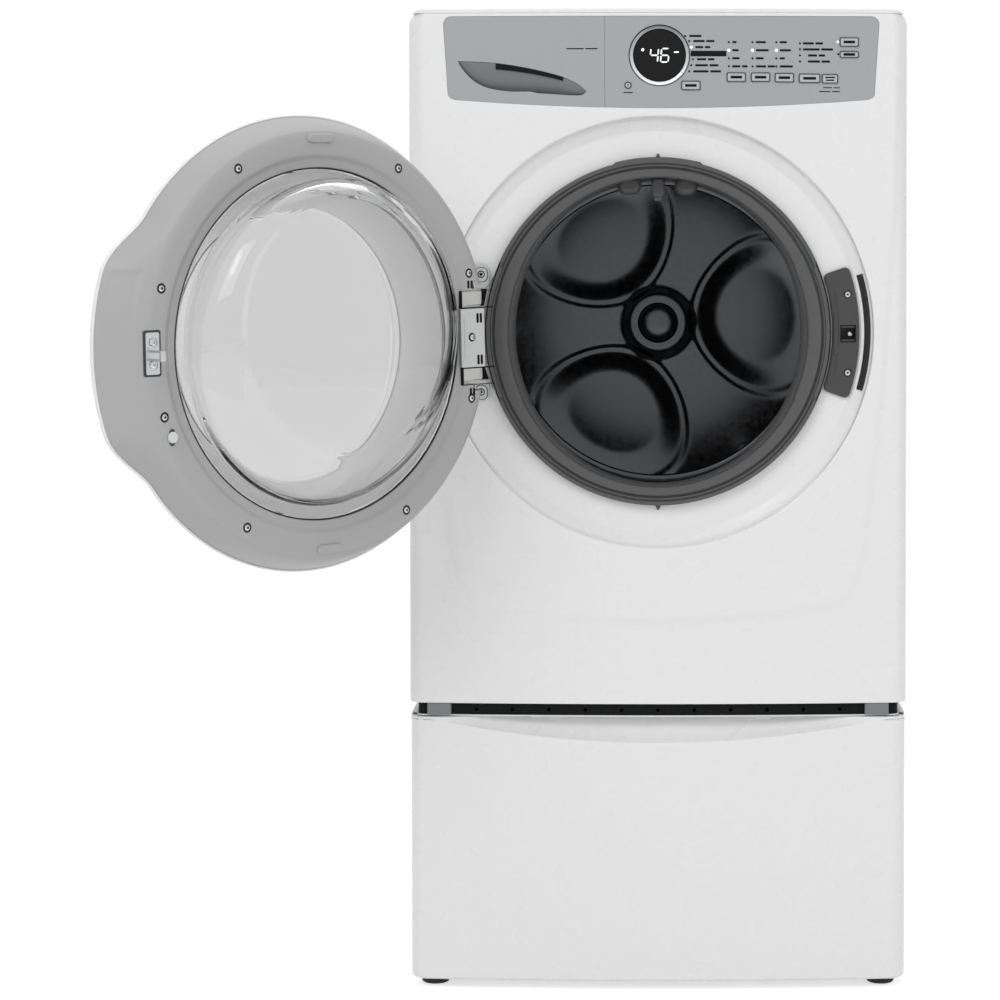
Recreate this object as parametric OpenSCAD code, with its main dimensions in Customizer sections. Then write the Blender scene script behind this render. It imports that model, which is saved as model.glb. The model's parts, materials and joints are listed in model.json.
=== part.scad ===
// Front load washing machine on a matching drawer pedestal.
// Front faces -Y, +X is to the right seen from the front, +Z is up.
// The floor under the middle of the footprint is the origin.
// Depths are measured back from the crown of the bowed front.

/* [Cabinet] */
// Width of the cabinet, side to side
cabinet_w = 686; // [600:1:700]
// Depth of the cabinet, front crown to back sheet
cabinet_d = 740; // [650:1:800]
// Height of the top above the floor
total_h = 1348; // [1250:1:1400]
// Height of the washer itself, lower edge to top
washer_h = 952.4; // [900:0.1:1000]
// How far the front bows out in the middle
front_bow = 15; // [5:0.5:25]
// Radius of the upright front edges
edge_r = 22; // [10:1:30]
// Radius of the top corners seen from the front
top_corner_r = 20; // [8:1:30]
// Thickness of the formed sheet
sheet_t = 1.5; // [0.8:0.1:3]
// Height of the top's front edge band
top_band_h = 5.4; // [3:0.1:12]
// Depth of the front panel's wrap round the sides
front_wrap = 42; // [30:1:60]
// How far the upper shield stands proud
shield_step = 4; // [1:0.5:8]
// Half width of the shield at the top
shield_top_half = 326; // [310:1:330]
// Half width of the shield above its lower corners
shield_low_half = 281; // [240:1:300]
// Half width of the shield's lower edge
shield_foot_half = 205; // [150:1:230]
// Shield's lower corners start this far above the lower edge
shield_side_rise = 229.4; // [200:0.1:280]
// Lowest point of the shield above the lower edge
shield_base_rise = 117.9; // [90:0.1:160]
// Rise of the shield's lower edge towards its corners
shield_sag = 15; // [0:0.5:25]
// Height of the top's side skirt
top_skirt_h = 24; // [12:1:40]

// Transit bolt holes either side of the middle
transit_x = 240; // [225:1:260]
// Transit bolt holes over and under the porthole centre
transit_z = 150; // [100:1:200]
// Radius of a transit bolt hole
transit_hole_r = 7; // [5:0.5:9]

/* [Porthole] */
// Porthole centre below the top
port_drop = 442.1; // [435:0.1:460]
// Outer radius of the door recess
recess_r = 295; // [270:0.5:310]
// Radius where the recess floor starts
recess_floor_r = 281; // [260:0.5:300]
// Depth of the straight part of the recess wall
recess_wall_d = 11; // [4:0.5:16]
// Depth of the recess floor
recess_d = 22.5; // [16:0.5:40]
// Radius of the hole in the recess floor
port_hole_r = 238; // [220:0.5:250]
// Inner radius of the gasket's front ring
gasket_in_r = 212; // [205:0.5:225]
// Inner radius of the gasket's tunnel
gasket_tunnel_r = 209; // [200:0.5:220]
// Depth of the gasket's front ring
gasket_front_d = 8.3; // [4:0.1:16]
// Wall of the rubber bellows
gasket_t = 4; // [2:0.5:6]

/* [Door] */
// Opening angle of the door as shown
door_open = 135.9; // [0:0.1:150]
// Sideways place of the hinge axis
hinge_x = -272.5; // [-290:0.5:-250]
// Hinge axis in front of the crown
hinge_out = 55.6; // [40:0.1:70]
// Lean of the hinge axis, top to the left
hinge_lean = 0.7; // [0:0.1:3]
// Radius of the door's outer shell
door_r = 290; // [270:1:300]
// Shell rim in front of the crown
door_rim_out = 25; // [15:1:40]
// Radius of the shell's rounded edge
door_round_r = 38; // [25:1:45]
// Start of the rounded edge in front of the crown
door_round_out = 40; // [30:1:60]
// Wall of the door's shell
door_wall = 2.5; // [1.5:0.1:4]
// Radius of the outer window
window_r = 178; // [150:1:200]
// Window edge in front of the crown
window_out = 62; // [50:1:75]
// Rise of the window's dome
window_dome = 6; // [2:0.5:12]
// Reach of the grip from the door's centre
grip_r = 319; // [300:1:330]
// Half height of the full grip
grip_half = 100; // [80:1:120]
// Height over which the grip runs out
grip_run = 58; // [40:1:80]
// Depth of the grip
grip_d = 30; // [20:1:40]
// Outer radius of the inner frame
frame_r = 286; // [270:1:288]
// Outer radius of the frame's raised ring
frame_ring_r = 268; // [255:1:275]
// Inner radius of the frame
frame_in_r = 222; // [215:0.5:230]
// Depth of the frame's raised ring
frame_ring_d = 13.5; // [8:0.5:16]
// Outer radius of the glass flange
glass_flange_r = 221; // [215:0.5:225]
// Radius of the glass bowl's neck
glass_neck_r = 204; // [190:0.5:208]
// Radius of the glass bowl's end
glass_end_r = 150; // [120:1:180]
// Depth of the glass flange's face
glass_face_d = 8; // [4:0.5:12]
// Depth of the glass bowl's end
glass_end_d = 98; // [60:1:105]
// Glass thickness
glass_t = 6; // [3:0.5:8]
// Radius of the ring of door screws
screw_ring_r = 254; // [240:0.5:262]
// Radius of a screw head
screw_head_r = 4; // [3:0.1:6]

/* [Hinge and lock] */
// Height of the upper hinge arm over the porthole centre
arm_upper_z = 48; // [30:1:70]
// Height of the lower hinge arm under the porthole centre
arm_lower_z = 54; // [30:1:70]
// Height of one hinge arm
arm_h = 20; // [12:1:30]
// Thickness of one hinge arm
arm_t = 10; // [6:0.5:14]
// Foot of the arms, sideways
arm_foot_x = -248; // [-260:0.5:-240]
// Radius of the hinge pins
pin_r = 3; // [2:0.5:5]
// Radius of the arm's eye
eye_r = 8; // [6:0.5:10]
// Radius of the door's hinge barrel
barrel_r = 6; // [5:0.5:8]
// Running clearance round a pin
pin_play = 0.05; // [0.01:0.01:0.1]
// Half angle of the lock cover
lock_half_a = 19.5; // [15:0.5:25]
// Outer radius of the lock cover
lock_out_r = 277; // [270:0.5:280]
// Front of the lock cover
lock_front_d = 17; // [16:0.5:20]
// Centre of the latch slot from the porthole centre
latch_x = 261; // [255:0.5:268]
// Width of the latch slot
latch_w = 22; // [12:0.5:26]
// Height of the latch slot
latch_h = 24; // [16:0.5:30]

/* [Console] */
// Left end of the console opening
console_x0 = -294; // [-310:0.5:-280]
// Right end of the console opening
console_x1 = 303; // [280:0.5:320]
// Split between the dispenser and the console
console_split = -73; // [-100:0.5:-50]
// Top of the console opening below the top
console_drop = 9.6; // [6:0.1:20]
// Height of the console opening at its ends
console_h = 112.8; // [100:0.1:120]
// Sag of the console's lower edge
console_sag = 13; // [0:0.5:20]
// Draw in of the console's ends
console_draft = 6; // [0:0.5:12]
// Radius of the console's corners
console_corner_r = 11; // [4:0.5:18]
// Fascia thickness
fascia_t = 3; // [2:0.1:5]
// Fascia face behind the panel face
fascia_sunk = 0.8; // [0:0.1:2]
// Display centre from the middle
display_x = 2; // [-20:0.5:20]
// Display centre below the top
display_drop = 63.5; // [50:0.5:75]
// Radius of the display window
display_r = 35.5; // [25:0.5:42]
// Radius of the display's ring
display_ring_r = 42; // [36:0.5:48]
// Centre of the cycles key from the middle, and below the top
cycles_at = [44.9, 104.6]; // [0:0.1:300]
// Centre of the temperature key from the middle, and below the top
temp_at = [106.9, 93.2]; // [0:0.1:300]
// Centre of the soil level key from the middle, and below the top
soil_at = [140.1, 93.2]; // [0:0.1:300]
// Centre of the spin key from the middle, and below the top
spin_at = [172.6, 93.8]; // [0:0.1:300]
// Centre of the options key from the middle, and below the top
options_at = [207.2, 94.6]; // [0:0.1:300]
// Centre of the select key from the middle, and below the top
select_at = [235.2, 95.2]; // [0:0.1:300]
// Centre of the start key from the middle, and below the top
start_at = [261.6, 44.8]; // [0:0.1:300]
// Centre of the cancel key from the middle, and below the top
cancel_at = [261.6, 61.8]; // [0:0.1:300]
// Centre of the power key from the middle, and below the top
power_at = [-40.9, 104.3]; // [-60:0.1:120]
// Width of an ordinary key
key_w = 26.4; // [16:0.1:32]
// Height of an ordinary key
key_h = 13; // [8:0.1:18]
// Width of the options key
key_options_w = 30; // [20:0.1:36]
// Width of the select key
key_select_w = 23; // [16:0.1:30]
// Height of the cancel key
key_cancel_h = 9.5; // [6:0.1:14]
// Radius of the power key
key_power_r = 4.7; // [3:0.1:7]
// How far a key stands proud
key_proud = 1.2; // [0.5:0.1:3]
// Travel of a key
key_travel = 1; // [0.5:0.1:2]
// Gap round a key
key_gap = 0.3; // [0.2:0.05:0.6]
// Depth of the back of a key
key_back_d = 18; // [14:0.5:24]

/* [Dispenser] */
// Height of the detergent tray
tray_h = 84; // [60:1:90]
// Wall of the tray and its housing
tray_wall = 2; // [1.5:0.1:4]
// Gap between tray and housing
tray_gap = 0.8; // [0.3:0.1:2]
// Depth of the finger scoop
scoop_d = 14; // [8:0.5:20]

/* [Tub and drum] */
// Outer radius of the tub
tub_r = 302; // [290:1:310]
// Wall of the tub
tub_wall = 5; // [3:0.5:8]
// Depth of the tub's front
tub_front_d = 91; // [85:1:110]
// Tub's back in front of the cabinet's back
tub_room = 174; // [150:1:220]
// Length of the tub's rear half
tub_rear_len = 234; // [180:1:280]
// Height of the tub's joint flange
tub_flange = 10; // [6:1:14]
// Outer radius of the drum
drum_r = 276; // [250:1:285]
// Radius of the drum's mouth
drum_mouth_r = 204; // [190:1:215]
// Depth of the drum's front
drum_front_d = 110; // [105:1:130]
// Drum's back in front of the tub's back
drum_room = 44; // [36:1:70]
// Drum sheet thickness
drum_t = 1.4; // [0.8:0.1:2]
// Height of a drum baffle
baffle_h = 48; // [30:1:60]
// Radius of the drum shaft
shaft_r = 17.5; // [12:0.5:22]
// Outer radius of the bearings
bearing_r = 36; // [28:1:44]
// Radius of the drum pulley
pulley_r = 150; // [120:1:180]
// Radius of the motor pulley
motor_pulley_r = 25; // [18:1:35]
// Width of the pulleys
pulley_w = 16; // [12:1:24]
// Pulleys behind the tub's bearing hub
pulley_gap = 24; // [12:1:40]
// Radius of the motor
motor_r = 75; // [60:1:90]
// Gap between the tub and the motor
motor_gap = 30.2; // [20:0.1:60]
// Motor centre above the washer's lower edge
motor_rise = 124.4; // [90:0.1:150]
// Spring and damper places either side of the middle
strut_x = 190; // [150:1:220]

/* [Pedestal] */
// Width of the pedestal
pedestal_w = 682; // [600:1:686]
// Gap between the pedestal and the washer's lower edge
stand_gap = 16.1; // [8:0.1:30]
// Top of the drawer front below the pedestal's top
drawer_drop = 2.5; // [0:0.5:10]
// Bottom of the drawer front
drawer_z0 = 13; // [8:0.5:40]
// Depth of the drawer front's wrap
drawer_wrap = 40; // [30:1:50]
// Drop of the drawer's scoop at the middle
scoop_drop = 32; // [20:1:45]
// Ends of the scoop in from the pedestal's sides
scoop_in = 25; // [16:1:60]
// Slope of the scoop
scoop_slope = 38; // [25:1:60]
// Drawer box below the top of the drawer front
box_drop = 87; // [60:1:120]
// Underside of the drawer box above the floor
box_z0 = 45; // [35:1:70]
// Drawer box in front of the cabinet's back
box_room = 100; // [60:1:200]
// Drawer box in from the pedestal's sides
box_in = 36; // [30:1:60]
// Radius of a foot
foot_r = 19; // [14:1:26]
// Feet in from the pedestal's sides
foot_in = 31.5; // [26:0.5:60]

/* [Hidden] */
$fn = 72;
bow_fn = 2880;
cut = 1;
gap = 0.3;
front_y = -cabinet_d / 2;
half_w = cabinet_w / 2;
bow_r = (half_w * half_w + front_bow * front_bow) / (2 * front_bow);
// how far the edge rounds reach through the bow before it trims them
edge_lap = 0.1;
washer_z = total_h - washer_h;
pedestal_top = washer_z - stand_gap;
panel_z1 = total_h - top_band_h;
plinth_in = 12;
shell_front_d = front_wrap + gap;
seat = 0.2;
shield_side_z = washer_z + shield_side_rise;
shield_base_z = washer_z + shield_base_rise;
side_n = 10;
corner_n = 12;

port_z = total_h - port_drop;
port_lip = 0.8;

console_z1 = total_h - console_drop;
console_z0 = console_z1 - console_h;
display_z = total_h - display_drop;
face_in = fascia_sunk + fascia_t;
flange = 6;
key_r = 2;
key_lip = 1.5;
function key_place(k) = [k[0], total_h - k[1]];
at_cycles = key_place(cycles_at);
at_temp = key_place(temp_at);
at_soil = key_place(soil_at);
at_spin = key_place(spin_at);
at_options = key_place(options_at);
at_select = key_place(select_at);
at_start = key_place(start_at);
at_cancel = key_place(cancel_at);
at_power = key_place(power_at);

tub_back_d = cabinet_d - tub_room;
tub_joint_d = tub_back_d - tub_rear_len;
drum_back_d = tub_back_d - drum_room;
skin_r = tub_r - tub_wall;
hub_d0 = tub_back_d - 25;
hub_d1 = tub_back_d + 50;
bearing_w = 20;
pulley_d = hub_d1 + pulley_gap;

strut_d = tub_joint_d + 26;
strut_in = 44;
lug_top = port_z + tub_r - strut_in;
lug_low = port_z - tub_r + strut_in - 4;
lug_t = 14;
lug_w = 36;
brace_w = 32;
brace_d = strut_d - brace_w / 2;
brace_drop = 48;
brace_z0 = total_h - brace_drop;
brace_h = brace_drop - top_skirt_h - gap;
rear_brace_d = cabinet_d - 140;
brace_end = 30;

tray_in = 11;
tray_d = 24;
tray_x0 = console_x0 + tray_in;
tray_x1 = console_split - tray_in;
tray_z0 = console_z0 + tray_in;
tray_len = brace_d - tray_d - 28;
tray_front_t = 26;
bay_1 = 62;
bay_2 = 130;
house_d = 18;
house_z0 = tray_z0 - tray_gap - tray_wall;

pump_x = 120;
pump_d = 190;
pump_h = 50;
pump_w = 80;
pump_top = washer_z + 74.4;
fill_x = -185;
fill_d = 220;

motor_len = 215;
motor_d0 = hub_d1 - 1 - motor_len;
motor_shaft_r = 8;
shaft_play = 21;
motor_z = washer_z + motor_rise;
motor_reach = tub_r + motor_r + motor_gap;
motor_x = sqrt(max(0, pow(motor_reach, 2) - pow(port_z - motor_z, 2)));
motor_a = -atan2(motor_x, port_z - motor_z);
motor_far = norm([motor_x, port_z - motor_z]);

inlet_x = 200;
inlet_half = 32;
inlet_drop = 75;
inlet_r = 13.2;
socket_x = -220;
socket_half = 25;
socket_drop = 80;
socket_h = 40;
drain_x = -230;
drain_z = washer_z + 84.4;
drain_r = 12;
drain_boss_r = 18;
service_half = 190;
service_up = 250;

pedestal_half = pedestal_w / 2;
drawer_z1 = pedestal_top - drawer_drop;
scoop_half = pedestal_half - scoop_in;
box_half = pedestal_half - box_in;
box_len = cabinet_d - box_room - drawer_wrap;
box_h = drawer_z1 - box_drop - box_z0;
rail_h = 42;
rail_t = 6;
rail_d = 70;
rail_z = box_z0 + (box_h - rail_h) / 2 + 3.5;
foot_z = drawer_z0 + 7;
foot_d = drawer_wrap + 6 + foot_r;
foot_x = pedestal_half - foot_in;
stem_r = 6;

// Half width of the shield at a height, straight at the top and drawn in below.
function shield_half(z) = let (t = (panel_z1 - z) / (panel_z1 - shield_side_z))
  shield_top_half - (shield_top_half - shield_low_half) * t * t;

// A curve that leaves a towards b and reaches c from b.
function bend(a, b, c, n) = [for (i = [0:n]) let (t = i / n)
  (1 - t) * (1 - t) * a + 2 * t * (1 - t) * b + t * t * c];

shield_pts = concat(
  [[shield_top_half, total_h + cut]],
  [for (i = [0:side_n - 1]) let (z = panel_z1 + (shield_side_z - panel_z1) * i / side_n)
    [shield_half(z), z]],
  bend([shield_low_half, shield_side_z], [shield_low_half - 7, shield_base_z + shield_sag],
    [shield_foot_half, shield_base_z + shield_sag], corner_n),
  [for (i = [1:side_n]) let (t = 1 - i / side_n)
    [shield_foot_half * t, shield_base_z + shield_sag * t * t]]
);

white = [0.9, 0.91, 0.92];
grey = [0.62, 0.63, 0.65];
dark = [0.2, 0.2, 0.21];
rubber = [0.38, 0.38, 0.39];
steel = [0.7, 0.71, 0.73];

// Plan of the bowed front: set_in shrinks all sides, set_back only the front.
module bowed_plan(w, set_in, set_back, back) {
  front_r = bow_r - set_back;
  cx = w / 2 - edge_r;
  cy = bow_r - sqrt(pow(front_r - edge_r, 2) - cx * cx) - edge_lap;
  tx = cx * (front_r - set_in) / (front_r - edge_r);
  sx = w / 2 - set_in;
  intersection() {
    translate([0, bow_r]) circle(r = front_r - set_in, $fn = bow_fn);
    union() {
      for (s = [-1, 1]) translate([s * cx, cy]) circle(r = edge_r - set_in);
      polygon([[-tx, 0], [tx, 0], [tx, back], [-tx, back]]);
      polygon([[-sx, cy], [sx, cy], [sx, back], [-sx, back]]);
    }
  }
}

module plan_block(w, set_in, set_back, back, z0, z1)
  translate([0, front_y, z0]) linear_extrude(z1 - z0) bowed_plan(w, set_in, set_back, back);

// A bowed skin between two depths behind the crown's curve.
module bowed_skin(w, in0, in1, back, z0, z1)
  difference() {
    plan_block(w, 0, in0, back, z0, z1);
    plan_block(w + cut, 0, in1, back + cut, z0 - cut, z1 + cut);
  }

// A shape drawn in X and Z, run from depth d0 to depth d1.
module face_plate(d0, d1)
  translate([0, front_y + d1, 0]) rotate([90, 0, 0]) linear_extrude(d1 - d0) children();

module box(x0, x1, d0, d1, z0, z1)
  translate([x0, front_y + d0, z0]) cube([x1 - x0, d1 - d0, z1 - z0]);

// Round parts about an axis that runs back through x, z.
module back_rod(x, z, r, d0, d1)
  translate([x, front_y + d0, z]) rotate([-90, 0, 0]) cylinder(r = r, h = d1 - d0);

module round_port(a = 360)
  translate([0, front_y, port_z]) rotate([-90, -a / 2, 0]) rotate_extrude(angle = a, $fn = 180)
    children();

module rounded_rect(x0, x1, z0, z1, r)
  union() {
    translate([x0 + r, z0]) square([x1 - x0 - 2 * r, z1 - z0]);
    translate([x0, z0 + r]) square([x1 - x0, z1 - z0 - 2 * r]);
    for (x = [x0 + r, x1 - r], z = [z0 + r, z1 - r]) translate([x, z]) circle(r = r);
  }

// Washer seen from the front with its rounded top corners.
module washer_face(set_in)
  union() {
    r = top_corner_r - set_in;
    for (s = [-1, 1])
      translate([s * (half_w - top_corner_r), total_h - top_corner_r]) circle(r = r);
    translate([-half_w + top_corner_r, washer_z - cut])
      square([cabinet_w - 2 * top_corner_r, total_h - washer_z + cut - set_in]);
    translate([-half_w + set_in, washer_z - cut])
      square([cabinet_w - 2 * set_in, total_h - washer_z + cut - top_corner_r]);
  }

module shield_face()
  polygon(concat(shield_pts, [for (i = [len(shield_pts) - 2:-1:0])
    [-shield_pts[i][0], shield_pts[i][1]]]));

// Console opening with its sagging lower edge, grown by g.
module console_face(x0, x1, g) {
  w = console_x1 - console_x0;
  mid = (console_x0 + console_x1) / 2;
  sag_r = (w * w / 4 + console_sag * console_sag) / (2 * console_sag);
  r = console_corner_r + g;
  intersection() {
    translate([x0 - g, console_z0 - 2 * console_sag]) square([x1 - x0 + 2 * g, w]);
    translate([mid, console_z0 - console_sag + sag_r]) circle(r = sag_r + g, $fn = bow_fn);
    union() {
      polygon([
        [console_x0 - g, console_z1 - r + g], [console_x1 + g, console_z1 - r + g],
        [console_x1 - console_draft + g, console_z0 - 2 * console_sag],
        [console_x0 + console_draft - g, console_z0 - 2 * console_sag]
      ]);
      translate([console_x0 - g + r, console_z0]) square([w + 2 * g - 2 * r, console_h + g]);
      for (x = [console_x0 - g + r, console_x1 + g - r])
        translate([x, console_z1 + g - r]) circle(r = r);
    }
  }
}

// ---- cabinet ----

module cabinet_shell()
  color(white) {
    shell_sheet();
    top_braces();
  }

floor_in = 40;

module shell_sheet()
  difference() {
    intersection() {
      face_plate(shell_front_d, cabinet_d) washer_face(0);
      box(-half_w, half_w, 0, cabinet_d, washer_z, total_h - top_skirt_h - gap);
    }
    face_plate(shell_front_d - cut, cabinet_d - sheet_t)
      translate([-half_w + sheet_t, washer_z + sheet_t])
        square([cabinet_w - 2 * sheet_t, total_h]);
    // open floor inside the bottom flanges
    box(-half_w + floor_in, half_w - floor_in, 0, cabinet_d - floor_in,
      washer_z - cut, washer_z + 2 * sheet_t);
    // service opening in the back
    box(-service_half, service_half, cabinet_d - 2 * sheet_t, cabinet_d + cut,
      port_z - service_up, port_z + service_up);
    for (s = [-1, 1])
      back_rod(inlet_x + s * inlet_half, total_h - inlet_drop, inlet_r + 1.8,
        cabinet_d - 2 * sheet_t, cabinet_d + cut);
    back_rod(drain_x, drain_z, drain_boss_r + seat / 2, cabinet_d - 2 * sheet_t, cabinet_d + cut);
    // transit bolt holes
    for (s = [-1, 1], z = [-transit_z, transit_z])
      back_rod(s * transit_x, port_z + z, transit_hole_r, cabinet_d - 2 * sheet_t, cabinet_d + cut);
    box(socket_x - socket_half, socket_x + socket_half, cabinet_d - 2 * sheet_t, cabinet_d + cut,
      total_h - socket_drop - socket_h / 2, total_h - socket_drop + socket_h / 2);
  }

// Braces welded across the top, which the springs hang from.
module top_braces()
  for (d = [brace_d, rear_brace_d]) difference() {
    box(-half_w + sheet_t, half_w - sheet_t, d, d + brace_w, brace_z0, brace_z0 + brace_h);
    box(-half_w + brace_end, half_w - brace_end, d + sheet_t, d + brace_w - sheet_t,
      brace_z0 + sheet_t, brace_z0 + brace_h + cut);
  }

module top_panel()
  color(white) union() {
    intersection() {
      plan_block(cabinet_w, 0, 0, cabinet_d, panel_z1 + gap, total_h);
      face_plate(0, cabinet_d) washer_face(0);
    }
    difference() {
      intersection() {
        face_plate(shell_front_d, cabinet_d) washer_face(0);
        box(-half_w, half_w, 0, cabinet_d, total_h - top_skirt_h, panel_z1 + 2 * gap);
      }
      face_plate(shell_front_d + sheet_t, cabinet_d - sheet_t) washer_face(sheet_t);
    }
  }

module panel_solid(t)
  intersection() {
    face_plate(0, front_wrap + cut) washer_face(t);
    union() {
      plan_block(cabinet_w, t, shield_step, front_wrap + cut, washer_z + t, panel_z1 - t);
      intersection() {
        plan_block(cabinet_w, t, 0, front_wrap + cut, washer_z + t, panel_z1 - t);
        face_plate(0, front_wrap) translate([0, port_z]) scale(1 - t / half_w)
          translate([0, -port_z]) shield_face();
      }
    }
  }

module front_panel()
  color(white) difference() {
    union() {
      difference() {
        intersection() {
          panel_solid(0);
          box(-half_w, half_w, 0, front_wrap, washer_z, total_h);
        }
        panel_solid(sheet_t);
        back_rod(0, port_z, recess_r, -cut, front_wrap + cut);
        face_plate(-cut, front_wrap + cut) console_face(console_x0, console_x1, 0);
        // the back stays open behind the wrap
        box(-half_w + sheet_t, half_w - sheet_t, front_wrap - 2 * sheet_t, front_wrap + cut,
          washer_z + sheet_t, panel_z1 - sheet_t);
      }
      // pressed door recess
      intersection() {
        plan_block(cabinet_w, 0, 0, front_wrap, washer_z, panel_z1);
        round_port() polygon([
          [recess_r, -cut], [recess_r, recess_wall_d], [recess_floor_r, recess_d],
          [port_hole_r, recess_d], [port_hole_r, recess_d + sheet_t],
          [recess_floor_r + sheet_t, recess_d + sheet_t],
          [recess_r + sheet_t, recess_wall_d + sheet_t], [recess_r + sheet_t, -cut]
        ]);
      }
    }
    // window for the lock behind the recess floor
    box(lock_x0, lock_x1, recess_d - cut, recess_d + 2 * sheet_t, port_z - lock_half, port_z + lock_half);
    // feet of the hinge arms
    for (z = [port_z + arm_upper_z, port_z - arm_lower_z])
      back_rod(arm_foot_x, z, pin_r + 1, recess_d - cut, recess_d + 2 * sheet_t);
  }

fascia_z0 = console_z0 - console_sag - flange - cut;

module control_fascia()
  color(grey) difference() {
    union() {
      intersection() {
        bowed_skin(cabinet_w, fascia_sunk, face_in, front_wrap, fascia_z0, panel_z1);
        face_plate(0, front_wrap) console_face(console_split + gap, console_x1, -gap);
      }
      // flange behind the panel's skin
      intersection() {
        bowed_skin(cabinet_w, sheet_t, face_in, front_wrap, fascia_z0, panel_z1 - 2 * sheet_t);
        face_plate(0, front_wrap) console_face(console_split + gap + flange, console_x1, flange);
      }
    }
    back_rod(display_x, display_z, display_ring_r + seat, -cut, front_wrap);
    for (k = [at_cycles, at_temp, at_soil, at_spin, at_start])
      key_hole(k, key_w, key_h);
    key_hole(at_options, key_options_w, key_h);
    key_hole(at_select, key_select_w, key_h);
    key_hole(at_cancel, key_w, key_cancel_h);
    back_rod(at_power[0], at_power[1], key_power_r + key_gap, -cut, front_wrap);
  }

module key_hole(at, w, h)
  face_plate(-cut, front_wrap) rounded_rect(
    at[0] - w / 2 - key_gap, at[0] + w / 2 + key_gap,
    at[1] - h / 2 - key_gap, at[1] + h / 2 + key_gap, key_r);

bezel_out = 2;
bezel_d = 12;

module display_bezel()
  color([0.85, 0.86, 0.88]) difference() {
    back_rod(display_x, display_z, display_ring_r, -bezel_out, bezel_d);
    back_rod(display_x, display_z, display_r + seat / 2, -bezel_out - cut, bezel_d + cut);
  }

module display_window()
  color([0.03, 0.03, 0.03]) back_rod(display_x, display_z, display_r, 0, bezel_d - 3);

board_z0 = console_z0 + 6.4;
board_z1 = console_z1 - 10.4;
board_x0 = console_split + 11;
board_x1 = console_x1 - 15;
board_d = key_back_d + 9;
board_t = 2;
switch_half = 4;
post_r = 4;

module control_board()
  color([0.1, 0.35, 0.2]) union() {
    box(board_x0, board_x1, board_d, board_d + board_t, board_z0, board_z1);
    // switches under the keys
    for (k = [at_power, at_cycles, at_temp, at_soil, at_spin,
         at_options, at_select, at_start, at_cancel])
      box(k[0] - switch_half, k[0] + switch_half, key_back_d + key_travel + gap, board_d,
        k[1] - switch_half, k[1] + switch_half);
    // posts up to the fascia
    for (x = [board_x0 + 6, 80, board_x1 - 6], z = [board_z0 + 38, board_z1 - 5])
      intersection() {
        back_rod(x, z, post_r, 0, board_d);
        plan_block(cabinet_w, 0, face_in + gap, board_d, board_z0, board_z1);
      }
  }

base_back = 10;
hole_step = 50;
hole_n = 5;
hole_r = 2.5;

module base_frame()
  color(dark) difference() {
    plan_block(cabinet_w, plinth_in, 0, cabinet_d - base_back, pedestal_top, washer_z);
    plan_block(cabinet_w, plinth_in + sheet_t, 0, cabinet_d - base_back - sheet_t,
      pedestal_top - cut, washer_z - sheet_t);
    for (s = [-1, 1]) foot_block(s);
    // holes along the recessed front
    for (i = [-hole_n:hole_n])
      back_rod(i * hole_step, washer_z - stand_gap / 2 - 1, hole_r, 0, front_wrap);
  }

block_w = 33;
block_d = 45;
block_in = 40;
block_front_d = plinth_in + 3.5;

module foot_block(s)
  for (d = [block_front_d, cabinet_d - block_front_d - block_d - base_back + 0.5])
    translate([s * (pedestal_half - block_in) - block_w / 2, front_y + d, pedestal_top])
      cube([block_w, block_d, stand_gap]);

module washer_feet()
  color([0.75, 0.76, 0.78]) for (s = [-1, 1]) foot_block(s);

flange_w = 10;
rib_in = 30;
rib_t = 6;
rib_w = 20;
rib_step = 120;

module rear_panel()
  color(steel) union() {
    box(-service_half - flange_w, service_half + flange_w, cabinet_d, cabinet_d + sheet_t,
      port_z - service_up - flange_w, port_z + service_up + flange_w);
    // stiffening ribs
    for (i = [-1:1])
      box(-service_half + rib_in, service_half - rib_in, cabinet_d - rib_t, cabinet_d,
        port_z + i * rib_step - rib_w / 2, port_z + i * rib_step + rib_w / 2);
  }

lock_x0 = latch_x - 15;
lock_x1 = latch_x + 14;
lock_half = 18;
lock_body_half = 60;
lock_back_d = 52;
latch_low = 2;

module door_lock()
  color(dark) difference() {
    union() {
      round_port(2 * lock_half_a) translate([port_hole_r + port_lip, lock_front_d])
        square([lock_out_r - port_hole_r - port_lip, recess_d - lock_front_d]);
      box(lock_x0, lock_x1, recess_d - cut, lock_back_d, port_z - lock_half, port_z + lock_half);
      box(lock_x0 - 3, lock_x1 + 2, recess_d + sheet_t, lock_back_d,
        port_z - lock_body_half, port_z + lock_body_half);
    }
    box(latch_x - latch_w / 2, latch_x + latch_w / 2, 0, lock_back_d - 5,
      port_z - latch_h / 2 - latch_low, port_z + latch_h / 2 - latch_low);
  }

trim_r0 = recess_floor_r + 3;
trim_r1 = recess_r - 4;
trim_t = 1;
trim_a = 32;

// Depth of the recess's sloped wall at a radius.
function wall_d(r) = recess_d - (r - recess_floor_r) * (recess_d - recess_wall_d) / (recess_r - recess_floor_r);

module recess_trim()
  color([0.06, 0.06, 0.06]) round_port(trim_a) polygon([
    [trim_r1, wall_d(trim_r1)], [trim_r0, wall_d(trim_r0)],
    [trim_r0 - 0.7, wall_d(trim_r0) - trim_t], [trim_r1 - 0.7, wall_d(trim_r1) - trim_t]
  ]);

// Everything that turns with the door hangs on the leaning axis.
module on_hinge()
  translate([hinge_x, front_y - hinge_out, port_z]) rotate([0, -hinge_lean, 0]) children();

module off_hinge()
  rotate([0, hinge_lean, 0]) translate([-hinge_x, hinge_out - front_y, -port_z]) children();

module opened()
  on_hinge() rotate([0, 0, -door_open]) off_hinge() children();

arm_dx = arm_foot_x - hinge_x;
arm_dy = hinge_out + recess_d;
arm_a = atan2(arm_dy, arm_dx);
arm_len = norm([arm_dx, arm_dy]);

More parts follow.
